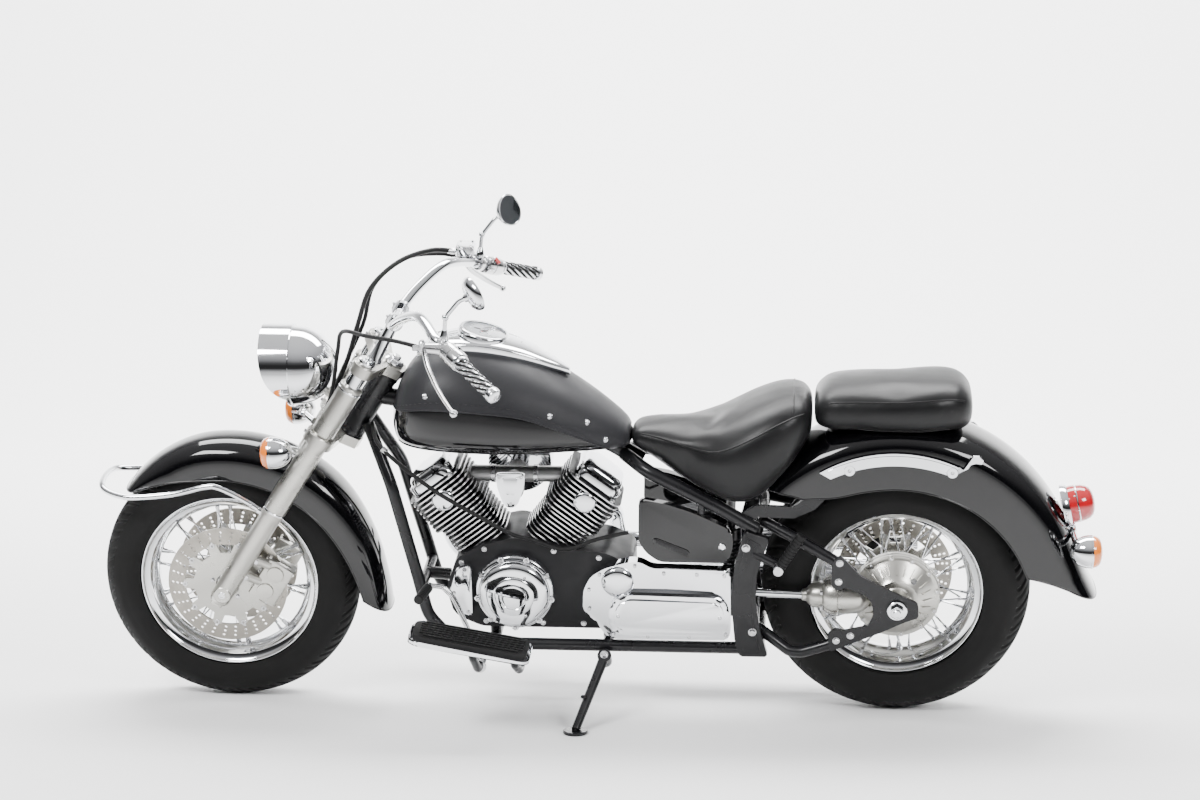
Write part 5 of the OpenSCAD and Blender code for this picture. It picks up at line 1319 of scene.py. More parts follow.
def build_engine():
    bm = bmesh.new()
    case = [[660, 232], [1010, 232], [1078, 262], [1096, 330], [1070, 410], [1010, 446], [925, 468],
            [830, 446], [700, 430], [640, 400], [640, 250]]
    slab(bm, case, -92, 92, 0, 6, 14)
    for side in (-1, 1):
        for x, z in ((676, 252), (760, 244), (860, 244), (1000, 246), (1062, 276), (1080, 330), (1056, 400),
                     (1000, 436), (830, 434), (720, 418), (660, 388)):
            bolt(bm, Vector((x, side * 91.5, z)), (0, side, 0), 5.5, 5, 2)
    for x in range(700, 1010, 26):
        slab(bm, [[x, 231.9], [x + 5, 231.9], [x + 5, 226], [x, 226]], -80, 80, 0, 1)
    piece("crankcase_cast", bm, ["black_case_paint", "polished_aluminium", "bolt_steel"], "chassis",
          ["crankcase"])
    build_cylinders()

    bm = bmesh.new()
    rod(bm, (INTAKE_X, -59.7, INTAKE_Z), (INTAKE_X, 70, INTAKE_Z), 26, n=40, mat=0, edge=3)
    lathe(bm, [(0, 0), (27, 0), (30, 2), (30, 12), (26, 16), (10, 17.6), (0, 17.6)],
          aim((INTAKE_X, 70, INTAKE_Z), (0, 1, 0)), 40, 0)
    for x in (1, -1):
        rod(bm, (INTAKE_X, 0, 600), (INTAKE_X + x * (106 if x > 0 else 116), 0, 600), 20, n=32, mat=0)
        lathe(bm, [(20, -6), (22.4, -5), (22.4, 5), (20, 6)], aim((INTAKE_X + x * 52, 0, 600), (1, 0, 0)),
              32, 1)
    piece("carburettor_bodies", bm, ["cast_aluminium", "bolt_steel"], "chassis", ["carburettors"])

    bm = bmesh.new()
    g = aim(CRANK + Vector((0, 92.4, 0)), (0, 1, 0))
    lathe(bm, [(0, 0), (96, 0), (96, 20), (95, 24), (92, 27), (87, 28.4), (87.5, 33), (86, 36), (85, 36.2),
               (84.6, 41),
               (83, 45), (78, 50), (72, 52.4), (66, 53.4), (60, 53.8), (50, 54), (49, 55.2), (46, 56.4),
               (36, 57.2),
               (33, 57.4), (31.6, 56), (30, 56), (28.4, 57.8), (24, 58.4), (0, 58.6)], g, 96, 0)
    for x, y in circle(9, 91.5, 20):
        q = g @ Vector((x, y, 0))
        lathe(bm, [(0, 20), (8, 20), (8.6, 24), (8.6, 30), (7, 32.4), (0, 32.4)],
              Matrix.Translation(q - g.translation) @ g, 20, 0)
        bolt(bm, q + Vector((0, 32, 0)), (0, 1, 0), 4.4, 5, 1)
    for x, y in circle(3, 58, 90):
        cap_screw(bm, g @ Vector((x, y, 53.4)), (0, 1, 0), 3.6, 2.6, 1)
    c = aim(CRANK + Vector((-40, -92.4, 0)), (0, -1, 0))
    lathe(bm, [(0, 0), (104, 0), (104, 30), (101, 36), (94, 40), (66, 41), (62, 44), (60, 51), (56, 54),
               (0, 55)], c, 80, 0)
    for x, y in circle(10, 97, 10):
        bolt(bm, c @ Vector((x, y, 38)), (0, -1, 0), 4.4, 5, 1)
    slab(bm, [[1030, 268], [1066, 282], [1084, 330], [1066, 396], [1030, 404]], 92.3, 118, 0, 5, 10)
    for x, z in ((1040, 280), (1074, 330), (1046, 392)):
        bolt(bm, Vector((x, 117.5, z)), (0, 1, 0), 4.4, 5, 1)
    shield = [[966, 636], [894, 636], [898, 600], [912, 560], [924, 548], [938, 548], [950, 560],
              [962, 600]]
    slab(bm, shield, 88, 100, 0, 3, 9)
    slab(bm, [[950, 626], [910, 626], [914, 604], [922, 582], [940, 582], [946, 604]], 98, 102, 0, 2, 5)
    for x, z in ((956, 628), (904, 628), (931, 558)):
        cap_screw(bm, Vector((x, 99.5, z)), (0, 1, 0), 4, 3, 1)
    piece("engine_covers_chrome", bm, ["chrome", "bolt_steel"], "chassis", ["engine_covers"])

    bm = bmesh.new()
    base = [[758, 290], [756, 348], [738, 384], [704, 406], [644, 424], [616, 424], [590, 408],
            [400, 404], [398, 250], [404, 222], [690, 220], [712, 240], [730, 280]]
    slab(bm, base, 92.4, 128, 0, 5, 14)
    bulge = [[696, 262], [690, 322], [660, 346], [424, 342], [402, 318], [402, 262], [424, 240], [670, 240]]
    slab(bm, bulge, 124, 148, 0, 9, 24)
    inner = [[682, 268], [676, 316], [652, 334], [430, 330], [414, 312], [414, 270], [432, 252], [660, 252]]
    slab(bm, inner, 146, 153.6, 0, 4, 20)
    dome = aim((672, 126, 372), (0, 1, 0))
    lathe(bm, [(40, 0), (39, 6), (35, 11), (28, 14), (14, 15.6), (0, 16)], dome, 44, 0)
    for x, z in ((742, 300), (742, 350), (716, 390), (630, 414), (560, 396), (480, 394), (414, 392),
                 (410, 236),
                 (500, 230), (600, 230), (684, 232)):
        bolt(bm, Vector((x, 127, z)), (0, 1, 0), 4.6, 6, 1)
    for x, z in ((670, 292), (424, 292)):
        cap_screw(bm, Vector((x, 152, z)), (0, 1, 0), 5, 2.6, 1)
    piece("shaft_cover_chrome", bm, ["chrome", "bolt_steel"], "chassis", ["shaft_drive_cover"])

    bm = bmesh.new()
    lathe(bm, [(0, 0), (70, 0), (78, 3), (80, 8), (80, 18), (79, 20), (79, 24), (80, 26), (80, 46),
               (77, 54), (70, 59),
               (58, 62), (40, 63.4), (0, 64)], aim((INTAKE_X, -104, INTAKE_Z), (0, -1, 0)), 80, 0)
    rod(bm, (INTAKE_X, -60, INTAKE_Z), (INTAKE_X, -106, INTAKE_Z), 24, n=40)
    bolt(bm, Vector((INTAKE_X, -167, INTAKE_Z)), (0, -1, 0), 7, 3, 1)
    for x, z in circle(5, 66):
        cap_screw(bm, Vector((INTAKE_X + x, -163, INTAKE_Z + z)), (0, -1, 0), 3.4, 3, 1)
    piece("air_cleaner_chrome", bm, ["chrome", "bolt_steel"], "chassis", ["air_cleaner"])


def build_exhausts():
    bm = bmesh.new()
    y = -218
    pipes = (([(1136, -46, 494), (1142, -86, 456), (1122, -134, 404), (1100, -168, 336), (1046, -200, 272),
               (940, -214, 240), (750, y, 234)], (760, y, 234), (-90, y, 262)),
             ([(716, -46, 492), (694, -88, 470), (692, -140, 414), (686, -176, 370), (640, -206, 346),
               (560, y, 344)], (570, y, 344), (-60, y, 366)))
    for path, a, b in pipes:
        tube(bm, path, 20, 28, 6, 0, up=(0, 1, .2))
        lathe(bm, [(20, -5), (27, -4), (28, 0), (28, 8), (20, 10)],
              aim(path[0], Vector(path[1]) - Vector(path[0])), 32, 0)
        m = aim(a, Vector(b) - Vector(a))
        h = (Vector(b) - Vector(a)).length
        lathe(bm, [(20, -14), (26, -4), (31, 10), (34, 26), (34.4, 120), (35, 122), (35, 132), (34.6, 134),
                   (37.4, h - 60), (38, h - 30), (38, h - 1), (37, h), (34.6, h), (34, h - 4),
                   (33, h - 90), (0, h - 92)], m, 48, 0)
        for k in range(3):
            bolt(bm, m @ Vector((0, -36, 200 + k * 160)), m.to_3x3() @ Vector((0, -1, 0)), 4, 3, 1)
    piece("exhausts_chrome", bm, ["chrome", "bolt_steel"], "chassis", ["exhausts"])


# ---------- frame and rear end ----------

def build_frame():
    bm = bmesh.new()
    low, high = LOWER_YOKE + 13.3, UPPER_YOKE - 13.3
    h = high - low
    lathe(bm, [(15.1, 0), (30, 0), (33, 3), (33, 14), (31, 18), (31, h - 18), (33, h - 14), (33, h - 3),
               (30, h), (15.1, h)],
          aim(on_fork(low, 0, 0), STEER_UP), 40, 0, close=True)
    bent(bm, [(1262, 0, 800), (1050, 0, 768), (860, 0, 742), (700, 0, 690), (620, 0, 640)], 22, 24)
    for side in (1, -1):
        bent(bm, [flip(p, side) for p in [(1282, 28, 735), (1222, 88, 600), (1163, 98, 360),
                                          (1142, 106, 268),
                                          (1078, RAIL_Y, RAIL_Z), (318, RAIL_Y, RAIL_Z)]], 15, 20)
        bent(bm, [flip(p, side) for p in [(660, 16, 662), (600, 84, 642), (426, 106, 560),
                                          (336, 116, 510)]], 17, 20)
        pillar = [[365, 512], [389, 425], [398, 333], [389, 227], [378, 184], [308, 184], [328, 255],
                  [338, 334], [336, 399], [312, 476], [306, 494]]
        slab(bm, pillar, 117, 137, 0, 4, 8, side=side)
        panel = [[356, 494], [378, 422], [386, 334], [378, 236], [368, 198], [326, 198], [342, 256],
                 [350, 334], [348, 402], [326, 478]]
        slab(bm, panel, 136, 139, 0, 2, 5, side=side)
        stay = [[380, 545], [340, 569], [252, 567], [214, 594], [168, 642], [118, 672], [60, 690],
                [-60, 698], [-134, 674], [-126, 648], [-58, 668], [58, 662], [110, 642], [152, 614],
                [198, 562], [246, 538], [340, 540], [362, 512]]
        slab(bm, stay, 101, 112.7, 0, 2, 6, side=side)
        rod(bm, (470, side * 104, 574), (470, side * 104, 544.2), 9)
        rod(bm, (345, side * 130, 455), (290, side * 137, 430), 11)
        rod(bm, (284, side * 138, 426), (284, side * 150.7, 426), 12)
        for x, z in ((346, 250), (362, 470)):
            bolt(bm, Vector((x, side * 138.6, z)), (0, side, 0), 8, 6, 1)
        for x in (1000, 900):
            under = 306 - (1006 - x) * tan(radians(10)) - 18.3
            bent(bm, [(x, side * RAIL_Y, RAIL_Z), (x, side * 266, RAIL_Z), (x + 6, side * 320, under - 32),
                      (x, side * 320, under)], 10, 16)
        for x in (980, 700):
            rod(bm, (x, side * 60, RAIL_Z), (x, side * 60, 231.7), 14)
    for x in (980, 700, 330):
        rod(bm, (x, -RAIL_Y, RAIL_Z), (x, RAIL_Y, RAIL_Z), 13)
    rod(bm, (1156, -98, 334), (1156, 98, 334), 12)
    rod(bm, (1156, 0, 334), (1096.3, 0, 330), 15)
    rod(bm, (402, -104, 536), (402, 104, 536), 12)
    pivot, axis = Vector((705, 149, 182)), Vector((0, cos(radians(46)), sin(radians(46))))
    rod(bm, pivot - 30 * axis, pivot - 12.5 * axis, 17)
    rod(bm, pivot - 30 * axis, pivot + 14 * axis, 6)
    bolt(bm, pivot + 13.4 * axis, axis, 8, 6, 1)
    rod(bm, (705, RAIL_Y, 186), pivot - 22 * axis, 9)
    piece("frame_tubes", bm, ["black_frame_paint", "bolt_steel"], "chassis", ["frame"])

    bm = bmesh.new()
    leg = Vector((765, 300, 300 * tan(LEAN) + 8 / cos(LEAN)))
    rod(bm, pivot - 12 * axis, pivot + 12 * axis, 17, n=32, edge=2)
    rod(bm, pivot, leg, 12.4, 10.4, n=24)
    foot = Matrix.Translation(leg) @ Matrix.Rotation(LEAN, 4, 'X')
    lathe(bm, [(0, -8), (28, -8), (30, -6.6), (30, -1.4), (28, 0), (0, 0)], foot, 40, 0)
    rod(bm, pivot + (leg - pivot) * .55, pivot + (leg - pivot) * .55 + Vector((14, 22, 10)), 4.5, n=16)
    piece("side_stand_leg", bm, ["black_frame_paint"], "side_stand", ["side_stand"])


def build_rear_end():
    bm = bmesh.new()
    pivot = (346, 0, 250)
    plate_line = [[160, 214], [40, 266], [-20, 296], [-52, 308], [-50, 345], [-6, 365], [90, 415],
                  [136, 466], [156, 448], [158, 386], [140, 374], [126, 384], [74, 362], [60, 344],
                  [56, 312],
                  [68, 284], [128, 270], [146, 276], [164, 262]]
    for side in (1, -1):
        bent(bm, [flip(p, side) for p in [(346, 88, 250), (300, 112, 226), (255, 142, 204), (225, 146, 204),
                                          (165, 150, 226), (120, 152, 246)]], 14, 20)
        bent(bm, [flip(p, side) for p in [(322, 88, 520), (234, 130, 488), (150, 150, 446),
                                          (104, 152, 414)]], 14, 20)
        hole = [[(10.4 * cos(-q), REAR_AXLE.z + 10.4 * sin(-q)) for q in [2 * pi * k / 28 for k in range(28)]]]
        slab(bm, rounded(plate_line, 8), 156.3, 165.6, 0, 0, 0, hole, side=side)
        for x, z in ((138, 446), (140, 398), (144, 244), (110, 258)):
            bolt(bm, Vector((x, side * 165.4, z)), (0, side, 0), 7, 6, 1)
        lathe(bm, [(24.6, -1), (29, -1), (29, 1.6), (27, 3), (24.6, 3)],
              aim((0, side * 163, REAR_AXLE.z), (0, side, 0)), 40, 0)
        rod(bm, (346, side * 112, 250), (346, side * 116, 250), 22, n=32)
    rod(bm, (346, -116.7, 250), (346, 116.7, 250), 15)
    rod(bm, (322, -88, 520), (322, 88, 520), 13)
    bent(bm, [pivot, (354, 0, 380), (322, 0, 520)], 12)
    piece("swingarm_forked", bm, ["black_frame_paint", "bolt_steel"], "chassis", ["swingarm"])

    bm = bmesh.new()
    bent(bm, [(361.4, 0, 250), (392, 0, 250), (398, 0, 316)], 10)
    rod(bm, (398, 0, 310), (399, 0, 345), 22, n=32, edge=2)
    rod(bm, (398.6, 0, 340), (401, 0, 440), 13, n=24)
    spring = []
    for k in range(181):
        a = 2 * pi * k / 20
        spring.append(Vector((399 + 2 * k / 180 + 20 * cos(a), 20 * sin(a), 345 + 95 * k / 180)))
    tube(bm, spring, 4.8, 8, 1, 1)
    rod(bm, (401, 0, 438), (402, 0, 470), 26, n=32, edge=3)
    rod(bm, (402, 0, 466), (402, 0, 523.7), 10)
    piece("rear_shock_spring", bm, ["black_frame_paint", "black_frame_paint"], "chassis", ["rear_shock"])

    bm = bmesh.new()
    y, z = 106, 338
    rod(bm, (397.7, y, z + 5), (226, y, z), 10.5, n=32, mat=1)
    lathe(bm, [(0, 0), (12, 0), (14, 2), (16, 11), (24, 18), (30, 26), (32, 44), (34, 45), (34, 49),
               (38, 52), (42, 56),
               (46, 66), (48.6, 76), (49, 84), (47, 86.6), (45, 88), (45, 110), (44, 130), (41, 141),
               (36, 150),
               (28, 159), (16, 165.6), (0, 168)], aim((228, y, z), (-1, 0, 0)), 64, 0)
    for dy, dz in circle(6, 37, 30):
        bolt(bm, Vector((228 - 49, y + dy, z + dz)), (1, 0, 0), 4.6, 5, 2)
    d = aim((0, 55, REAR_AXLE.z), (0, 1, 0))
    lathe(bm, [(10.4, 0), (104, 0), (106, 2), (106, 12), (104.6, 14), (104.6, 17), (106, 19), (106, 25),
               (104, 27.4),
               (97, 28), (94, 30), (90, 33), (74, 46), (60, 54), (54, 59), (52, 61), (37, 62.4),
               (34.4, 65), (34, 70),
               (34, 99), (32, 100.6), (10.4, 100.6)], d, 96, 0, close=True)
    for dx, dy in circle(12, 99, 8):
        q = d @ Vector((dx, dy, 27.4))
        lathe(bm, [(0, -3), (7.4, -3), (7.4, 2), (6.4, 3.4), (0, 3.4)], aim(q, (0, 1, 0)), 18, 0)
        cap_screw(bm, q + Vector((0, 3, 0)), (0, 1, 0), 4, 3.4, 2)
    for k in range(24):
        a = 2 * pi * k / 24
        m = d @ Matrix.Rotation(a, 4, 'Z') @ Matrix.Translation((75, 0, 44))
        m = m @ Matrix.Rotation(radians(40), 4, 'Y')
        block(bm, (26, 2.6, 8), m, 0, 0.8, 0.8)
    lathe(bm, [(0, -4), (9, -4), (9, 3), (7, 5), (0, 5)], aim((-40, 105, REAR_AXLE.z + 48), (-.2, 1, .3)),
          6, 2)
    piece("final_drive_cast", bm, ["satin_aluminium", "chrome", "bolt_steel"], "chassis", ["final_drive"])

    bm = bmesh.new()
    ny = 166.3
    rod(bm, (0, -ny - 8, REAR_AXLE.z), (0, ny + 26, REAR_AXLE.z), 10, n=32, edge=2)
    for side in (1, -1):
        lathe(bm, [(10, 0), (23, 0), (24, 1.2), (24, 6.6), (22.6, 8), (10, 8)],
              aim((0, side * ny, REAR_AXLE.z), (0, side, 0)), 40, 0)
    lathe(bm, [(10, 7), (17, 7), (17, 19), (15, 21), (10, 21)], aim((0, ny, REAR_AXLE.z), (0, 1, 0)), 6, 0)
    piece("rear_axle_nut", bm, ["chrome"], "chassis", ["rear_axle"])
    bm = bmesh.new()
    for side in (1, -1):
        rod(bm, FRONT_AXLE, FRONT_AXLE + Vector((0, side * 141, 0)), 9, n=32, edge=1.5)
        rod(bm, FRONT_AXLE + Vector((0, side * 47, 0)), FRONT_AXLE + Vector((0, side * 86.7, 0)), 16, n=32,
            edge=1)
        lathe(bm, [(4, 0), (4, -4), (9, -4), (9, 0), (8, 1), (5, 1)],
              aim(FRONT_AXLE + Vector((0, side * 141, 0)), (0, side, 0)), 24, 0)
    piece("front_axle_bar", bm, ["polished_aluminium"], "steering", ["front_axle"])

    # calipers: two-piston bodies over the discs
    bm = bmesh.new()
    for side in (1, -1):
        base = on_fork(72, -30, side * 67)
        m = Matrix((STEER_OUT, Vector((0, 1, 0)), STEER_UP)).transposed().to_4x4()
        m.translation = base
        for half in (1, -1):
            shift = Matrix.Translation((0, half * 13.5, 0))
            block(bm, (72, 18.6, 106), m @ shift, 0, 3, 5)
            for dz in (-26, 26):
                lathe(bm, [(0, 9), (20, 9), (21, 11), (20, 13.4), (15, 14),
                           (0, 14)] if half == side else [(0, 9), (17, 9), (16, 11), (0, 11)],
                      aim(m @ Vector((2, half * 13.5, dz)), (0, half, 0)), 32, 0)
        block(bm, (14, 45, 12), m @ Matrix.Translation((-29, 0, 47)), 0, 3, 4)
        for s in (60, 110):
            rod(bm, on_fork(s, -4, side * 85), on_fork(s, 50, side * 105), 11, n=24)
            bolt(bm, on_fork(s, 30, side * 104), (0, side, 0), 7, 6, 1)
    piece("front_caliper_bodies", bm, ["satin_aluminium", "bolt_steel"], "steering", ["front_calipers"])

    bm = bmesh.new()
    m = Matrix.Translation((104, -72, 264)) @ Matrix.Rotation(radians(32), 4, 'Y')
    for half in (1, -1):
        block(bm, (84, 14, 58), m @ Matrix.Translation((0, half * 16, 0)), 0, 3, 5)
    block(bm, (18, 46, 56), m @ Matrix.Translation((36, 0, 0)), 0, 3, 5)
    rod(bm, (128, -92, 246), (128, -137.2, 246), 12, n=24)
    piece("rear_caliper_body", bm, ["satin_aluminium"], "chassis", ["rear_caliper"])

    # side covers with a slot and a lock
    bm = bmesh.new()
    line = [[622, 474], [620, 582], [560, 572], [498, 552], [470, 540], [440, 526], [404, 508],
            [394, 488], [394, 462], [406, 420], [571, 420], [604, 444]]
    for side in (1, -1):
        slab(bm, line, 92.4, 115, 0, 5, 14, side=side)
        slot = [(582, 484), (500, 451), (496, 440), (503, 434), (584, 466), (590, 476)]
        slab(bm, slot, 114, 117.6, 0, 1.4, 6, side=side)
        slab(bm, [(578, 479), (503, 449), (500, 443), (505, 440), (580, 471)], 117, 117.9, 1, 0.4, 2,
             side=side)
        lathe(bm, [(9, -1), (9, 2), (8, 3), (6.6, 2.4), (6, 1), (0, 1)],
              aim((420, side * 115, 462), (0, side, 0)), 32, 2)
    piece("side_covers_gloss", bm, ["gloss_black_paint", "black_plastic", "chrome"], "chassis",
          ["side_covers"])


# ---------- feet, cables ----------

def build_feet():
    bm = bmesh.new()
    for side in (1, -1):
        m = Matrix.Translation((1006, side * 330, 306)) @ Matrix.Rotation(radians(-10), 4, 'Y')
        plate(bm, rounded([(-146, -56), (146, -50), (146, 50), (110, 58), (-146, 58)] if side > 0 else
                          [(-146, -58), (110, -58), (146, -50), (146, 50), (-146, 56)], 26, 8), [], -18,
              -6, m, 1, 3)
        plate(bm, rounded([(-138, -48), (138, -44), (138, 44), (104, 50), (-138, 50)] if side > 0 else
                          [(-138, -50), (104, -50), (138, -44), (138, 44), (-138, 48)], 22, 8), [], -7,
              4.4, m, 0, 2.4)
        for k in range(7):
            y = -36 + 12 * k
            reach = 128 if abs(y) < 30 else 118
            plate(bm, rounded([(-reach, y - 3.4), (reach - 6, y - 3.4), (reach - 6, y + 3.4),
                               (-reach, y + 3.4)], 3), [],
                  3.5, 7.8, m, 0, 1.4)
        for x in (-50, 50):
            rod(bm, m @ Vector((x, -side * 50, -16)), m @ Vector((x, -side * 22, -16)), 6, n=16, mat=2)
    piece("footboards_ribbed", bm, ["black_rubber", "chrome", "bolt_steel"], "chassis", ["footboards"])

    bm = bmesh.new()
    for side in (1, -1):
        lathe(bm, [(10.3, 0), (16, 0), (17, 1.4), (17, 22.6), (16, 24), (10.3, 24)],
              aim((1000, side * 226, 196), (0, side, 0)),
              32, 0, close=True)
        path = [(1000, side * 238, 206), (1036, side * 241, 320), (1072, side * 234, 388),
                (1116, side * 240, 402)]
        tube(bm, path, 7, 18, 6, 0, flat=.9)
        rod(bm, (1114, side * 235, 402), (1116, side * 256, 401.4), 7, n=20, mat=0)
        peg = aim((1116, side * 252, 401.4),
                  (Vector((1132, side * 320, 398)) - Vector((1114, side * 235, 402))))
        prof = [(0, 0), (10, 0)]
        for k in range(9):
            prof += [(12, 1.4 + 7.2 * k), (12, 5.6 + 7.2 * k), (10.6, 6.2 + 7.2 * k), (10.6, 8 + 7.2 * k)]
        lathe(bm, prof + [(11.8, 67), (11, 69.4), (0, 70)], peg, 28, 1)
    piece("shifter_and_pedal", bm, ["polished_aluminium", "black_rubber"], "chassis", ["foot_controls"])

    bm = bmesh.new()
    for side in (1, -1):
        rod(bm, (284, side * 151, 426), (284, side * 177, 426), 12, n=28, mat=1)
        a, b = Vector((284, side * 165, 426)), Vector((228, side * 169, 518))
        h = (b - a).length
        prof = [(0, 10), (9, 10)]
        for k in range(10):
            prof += [(13, 12 + 8.6 * k), (13, 17.4 + 8.6 * k), (11.4, 18.4 + 8.6 * k), (11.4, 20 + 8.6 * k)]
        lathe(bm, prof + [(12.6, h - 4), (11, h), (0, h)], aim(a, b - a), 28, 0)
    piece("passenger_pegs_ribbed", bm, ["black_rubber", "bolt_steel"], "chassis", ["passenger_pegs"])


def build_cables():
    bm = bmesh.new()
    low = LOWER_YOKE + 14
    near = lambda side: on_bar(-0.3, side) + Vector((52, side * 20, 10)) + 3.4 * Vector((52, side * 20,
                                                                                         10)).normalized()
    tube(bm, [(1105.8, -326, 1068), (1160, -292, 1080), (1232, -222, 1070), (1292, -150, 1024),
              (1318, -100, 950),
              (1342, -78, 870), on_fork(low + 50, 84, -66), on_fork(low, 78, -62)], 6, 16, 6)
    tube(bm, [near(-1), (1150, -356, 1052), (1226, -276, 1062), (1290, -184, 1020), (1310, -120, 940),
              on_fork(low + 80, 92, -92), on_fork(low, 80, -88)], 5, 14, 6)
    tube(bm, [near(1), (1150, 350, 1052), (1240, 256, 1034), (1310, 156, 1010), (1336, 92, 940),
              on_fork(low + 80, 88, 66), on_fork(low, 78, 62)], 5, 14, 6)
    for p, d in ((near(-1), (52, -20, 4)), (near(1), (52, 20, 4)),
                 (Vector((1105.8, -326, 1068)), (50, 30, 10))):
        lathe(bm, [(5, 0), (8, 1), (8, 9), (7, 10), (7, 18), (5, 20)], aim(p, d), 6, 1)
    piece("control_hoses", bm, ["black_rubber", "bolt_steel"], "steering", ["control_cables"])
    bm = bmesh.new()
    tube(bm, [(1269, 43.5, 737), (1236, 116, 704), (1120, 132, 610), (1000, 122, 530), (930, 112, 486),
              (880, 108, 470),
              (800, 106, 446), (720, 106, 474), (646, 104, 492)], 5, 14, 8)
    lathe(bm, [(5, 0), (8, 1), (8, 14), (5, 16)], aim((1236, 116, 704), (-116, 16, -94)), 6, 1)
    piece("clutch_cable_run", bm, ["black_rubber", "bolt_steel"], "chassis", ["clutch_cable"])


# ---------- stage ----------

def build_stage():
    look = bpy.context.scene.cruiser_studio
    bm = bmesh.new()
    n = 24
    loops = []
    for y, z in [(9, -.0005), (-3.2, -.0005)] + [(-3.2 - 1.8 * sin(radians(a)),
                                                  1.8 - 1.8 * cos(radians(a)) - .0005)
                                                for a in range(6, 91, 6)] + [(-5.0, 9)]:
        loops.append([Vector((-14 + 28 * k / n, y, z)) for k in range(n + 1)])
    rings(bm, loops, 0, (False, False), around=False)
    mesh = bpy.data.meshes.new("studio_sweep")
    bm.to_mesh(mesh)
    bm.free()
    mesh.polygons.foreach_set("use_smooth", [True] * len(mesh.polygons))
    mat = bpy.data.materials.new("studio_paper")
    mat.use_nodes = True
    bsdf = mat.node_tree.nodes['Principled BSDF']
    bsdf.inputs['Roughness'].default_value = 0.85
    # painted shade: the paper's colour darkens towards the front, so that polished flanks mirror a quieter
    # room
    where = mat.node_tree.nodes.new('ShaderNodeTexCoord')
    parts = mat.node_tree.nodes.new('ShaderNodeSeparateXYZ')
    reach = mat.node_tree.nodes.new('ShaderNodeMapRange')
    reach.inputs['From Min'].default_value, reach.inputs['From Max'].default_value = 0.9, 2.6
    # painted shade: this mix darkens the paper's colour towards the camera side
    painted_front_shade = mat.node_tree.nodes.new('ShaderNodeMix')
    painted_front_shade.data_type = 'RGBA'
    painted_front_shade.inputs['A'].default_value = (*look.paper, 1)
    painted_front_shade.inputs['B'].default_value = (*[0.38 * v for v in look.paper], 1)
    for a, b in ((where.outputs['Object'], parts.inputs['Vector']),
                 (parts.outputs['Y'], reach.inputs['Value']),
                 (reach.outputs['Result'], painted_front_shade.inputs['Factor']),
                 (painted_front_shade.outputs['Result'], bsdf.inputs['Base Color'])):
        mat.node_tree.links.new(a, b)
    bsdf.inputs['Specular IOR Level'].default_value = 0.1
    mesh.materials.append(mat)
    floor = bpy.data.objects.new("studio_sweep", mesh)
    bpy.context.scene.collection.objects.link(floor)

    world = bpy.data.worlds.new("studio")
    bpy.context.scene.world = world
    world.use_nodes = True
    nodes, link = world.node_tree.nodes, world.node_tree.links.new
    co = nodes.new('ShaderNodeTexCoord')
    split = nodes.new('ShaderNodeSeparateXYZ')
    ramp = nodes.new('ShaderNodeValToRGB')
    stops = ramp.color_ramp.elements
    stops[0].position, stops[0].color = 0.40, (0.55, 0.55, 0.55, 1)
    stops[1].position, stops[1].color = 1.0, (1.0, 1.0, 1.0, 1)
    for place, value in ((0.49, 0.03), (0.56, 0.03), (0.62, 0.10), (0.72, 0.45), (0.86, 0.8)):
        s = stops.new(place)
        s.color = (value, value, value * 1.02, 1)
    half = nodes.new('ShaderNodeMath')
    half.operation = 'MULTIPLY_ADD'
    half.inputs[1].default_value = 0.5
    half.inputs[2].default_value = 0.5
    link(co.outputs['Generated'], split.inputs['Vector'])
    link(split.outputs['Z'], half.inputs[0])
    link(half.outputs[0], ramp.inputs['Fac'])
    link(ramp.outputs['Color'], nodes['Background'].inputs['Color'])
    nodes['Background'].inputs['Strength'].default_value = look.sky

    for name, place, aim_at, size, size_y, power in (
            ("key", (2.6, 3.4, 4.4), (0, 0, .5), 2.2, 1.4, 330),
            ("fill", (-3.2, 3.4, 3.0), (0, 0, .5), 1.6, 1.2, 150),
            ("top", (0, -1.6, 4.4), (0, -.8, 0), 6.0, 1.6, 620),
            ("paper", (0, -2.6, 3.2), (0, -5.0, 1.2), 10.0, 1.4, 620)):
        light = bpy.data.lights.new(name, 'AREA')
        light.shape, light.size, light.size_y = 'RECTANGLE', size, size_y
        light.energy = power * look.light
        obj = bpy.data.objects.new(name, light)
        obj.location = place
        obj.rotation_euler = (Vector(aim_at) - Vector(place)).to_track_quat('-Z', 'Y').to_euler()
        bpy.context.scene.collection.objects.link(obj)

    yaw, pitch, roll = radians(4.92), radians(-19.47), radians(-0.93)
    ahead = Vector((sin(yaw) * cos(pitch), -cos(yaw) * cos(pitch), sin(pitch)))
    right = ahead.cross(Vector((0, 0, 1))).normalized()
    up = right.cross(ahead)
    r = right * cos(roll) + up * sin(roll)
    u = up * cos(roll) - right * sin(roll)
    cam = bpy.data.cameras.new("camera")
    cam.lens, cam.sensor_width = look.lens, 36
    cam.clip_end = 60
    obj = bpy.data.objects.new("camera", cam)
    m = Matrix((r, u, -ahead)).transposed().to_4x4()
    m.translation = Vector((0.200, 6.026, 2.931))
    obj.matrix_world = (Matrix.Translation((-0.740, -0.150, 0)) @ Matrix.Rotation(-LEAN, 4, 'X') @ m)
    bpy.context.scene.collection.objects.link(obj)
    bpy.context.scene.camera = obj


# ---------- add-on ----------

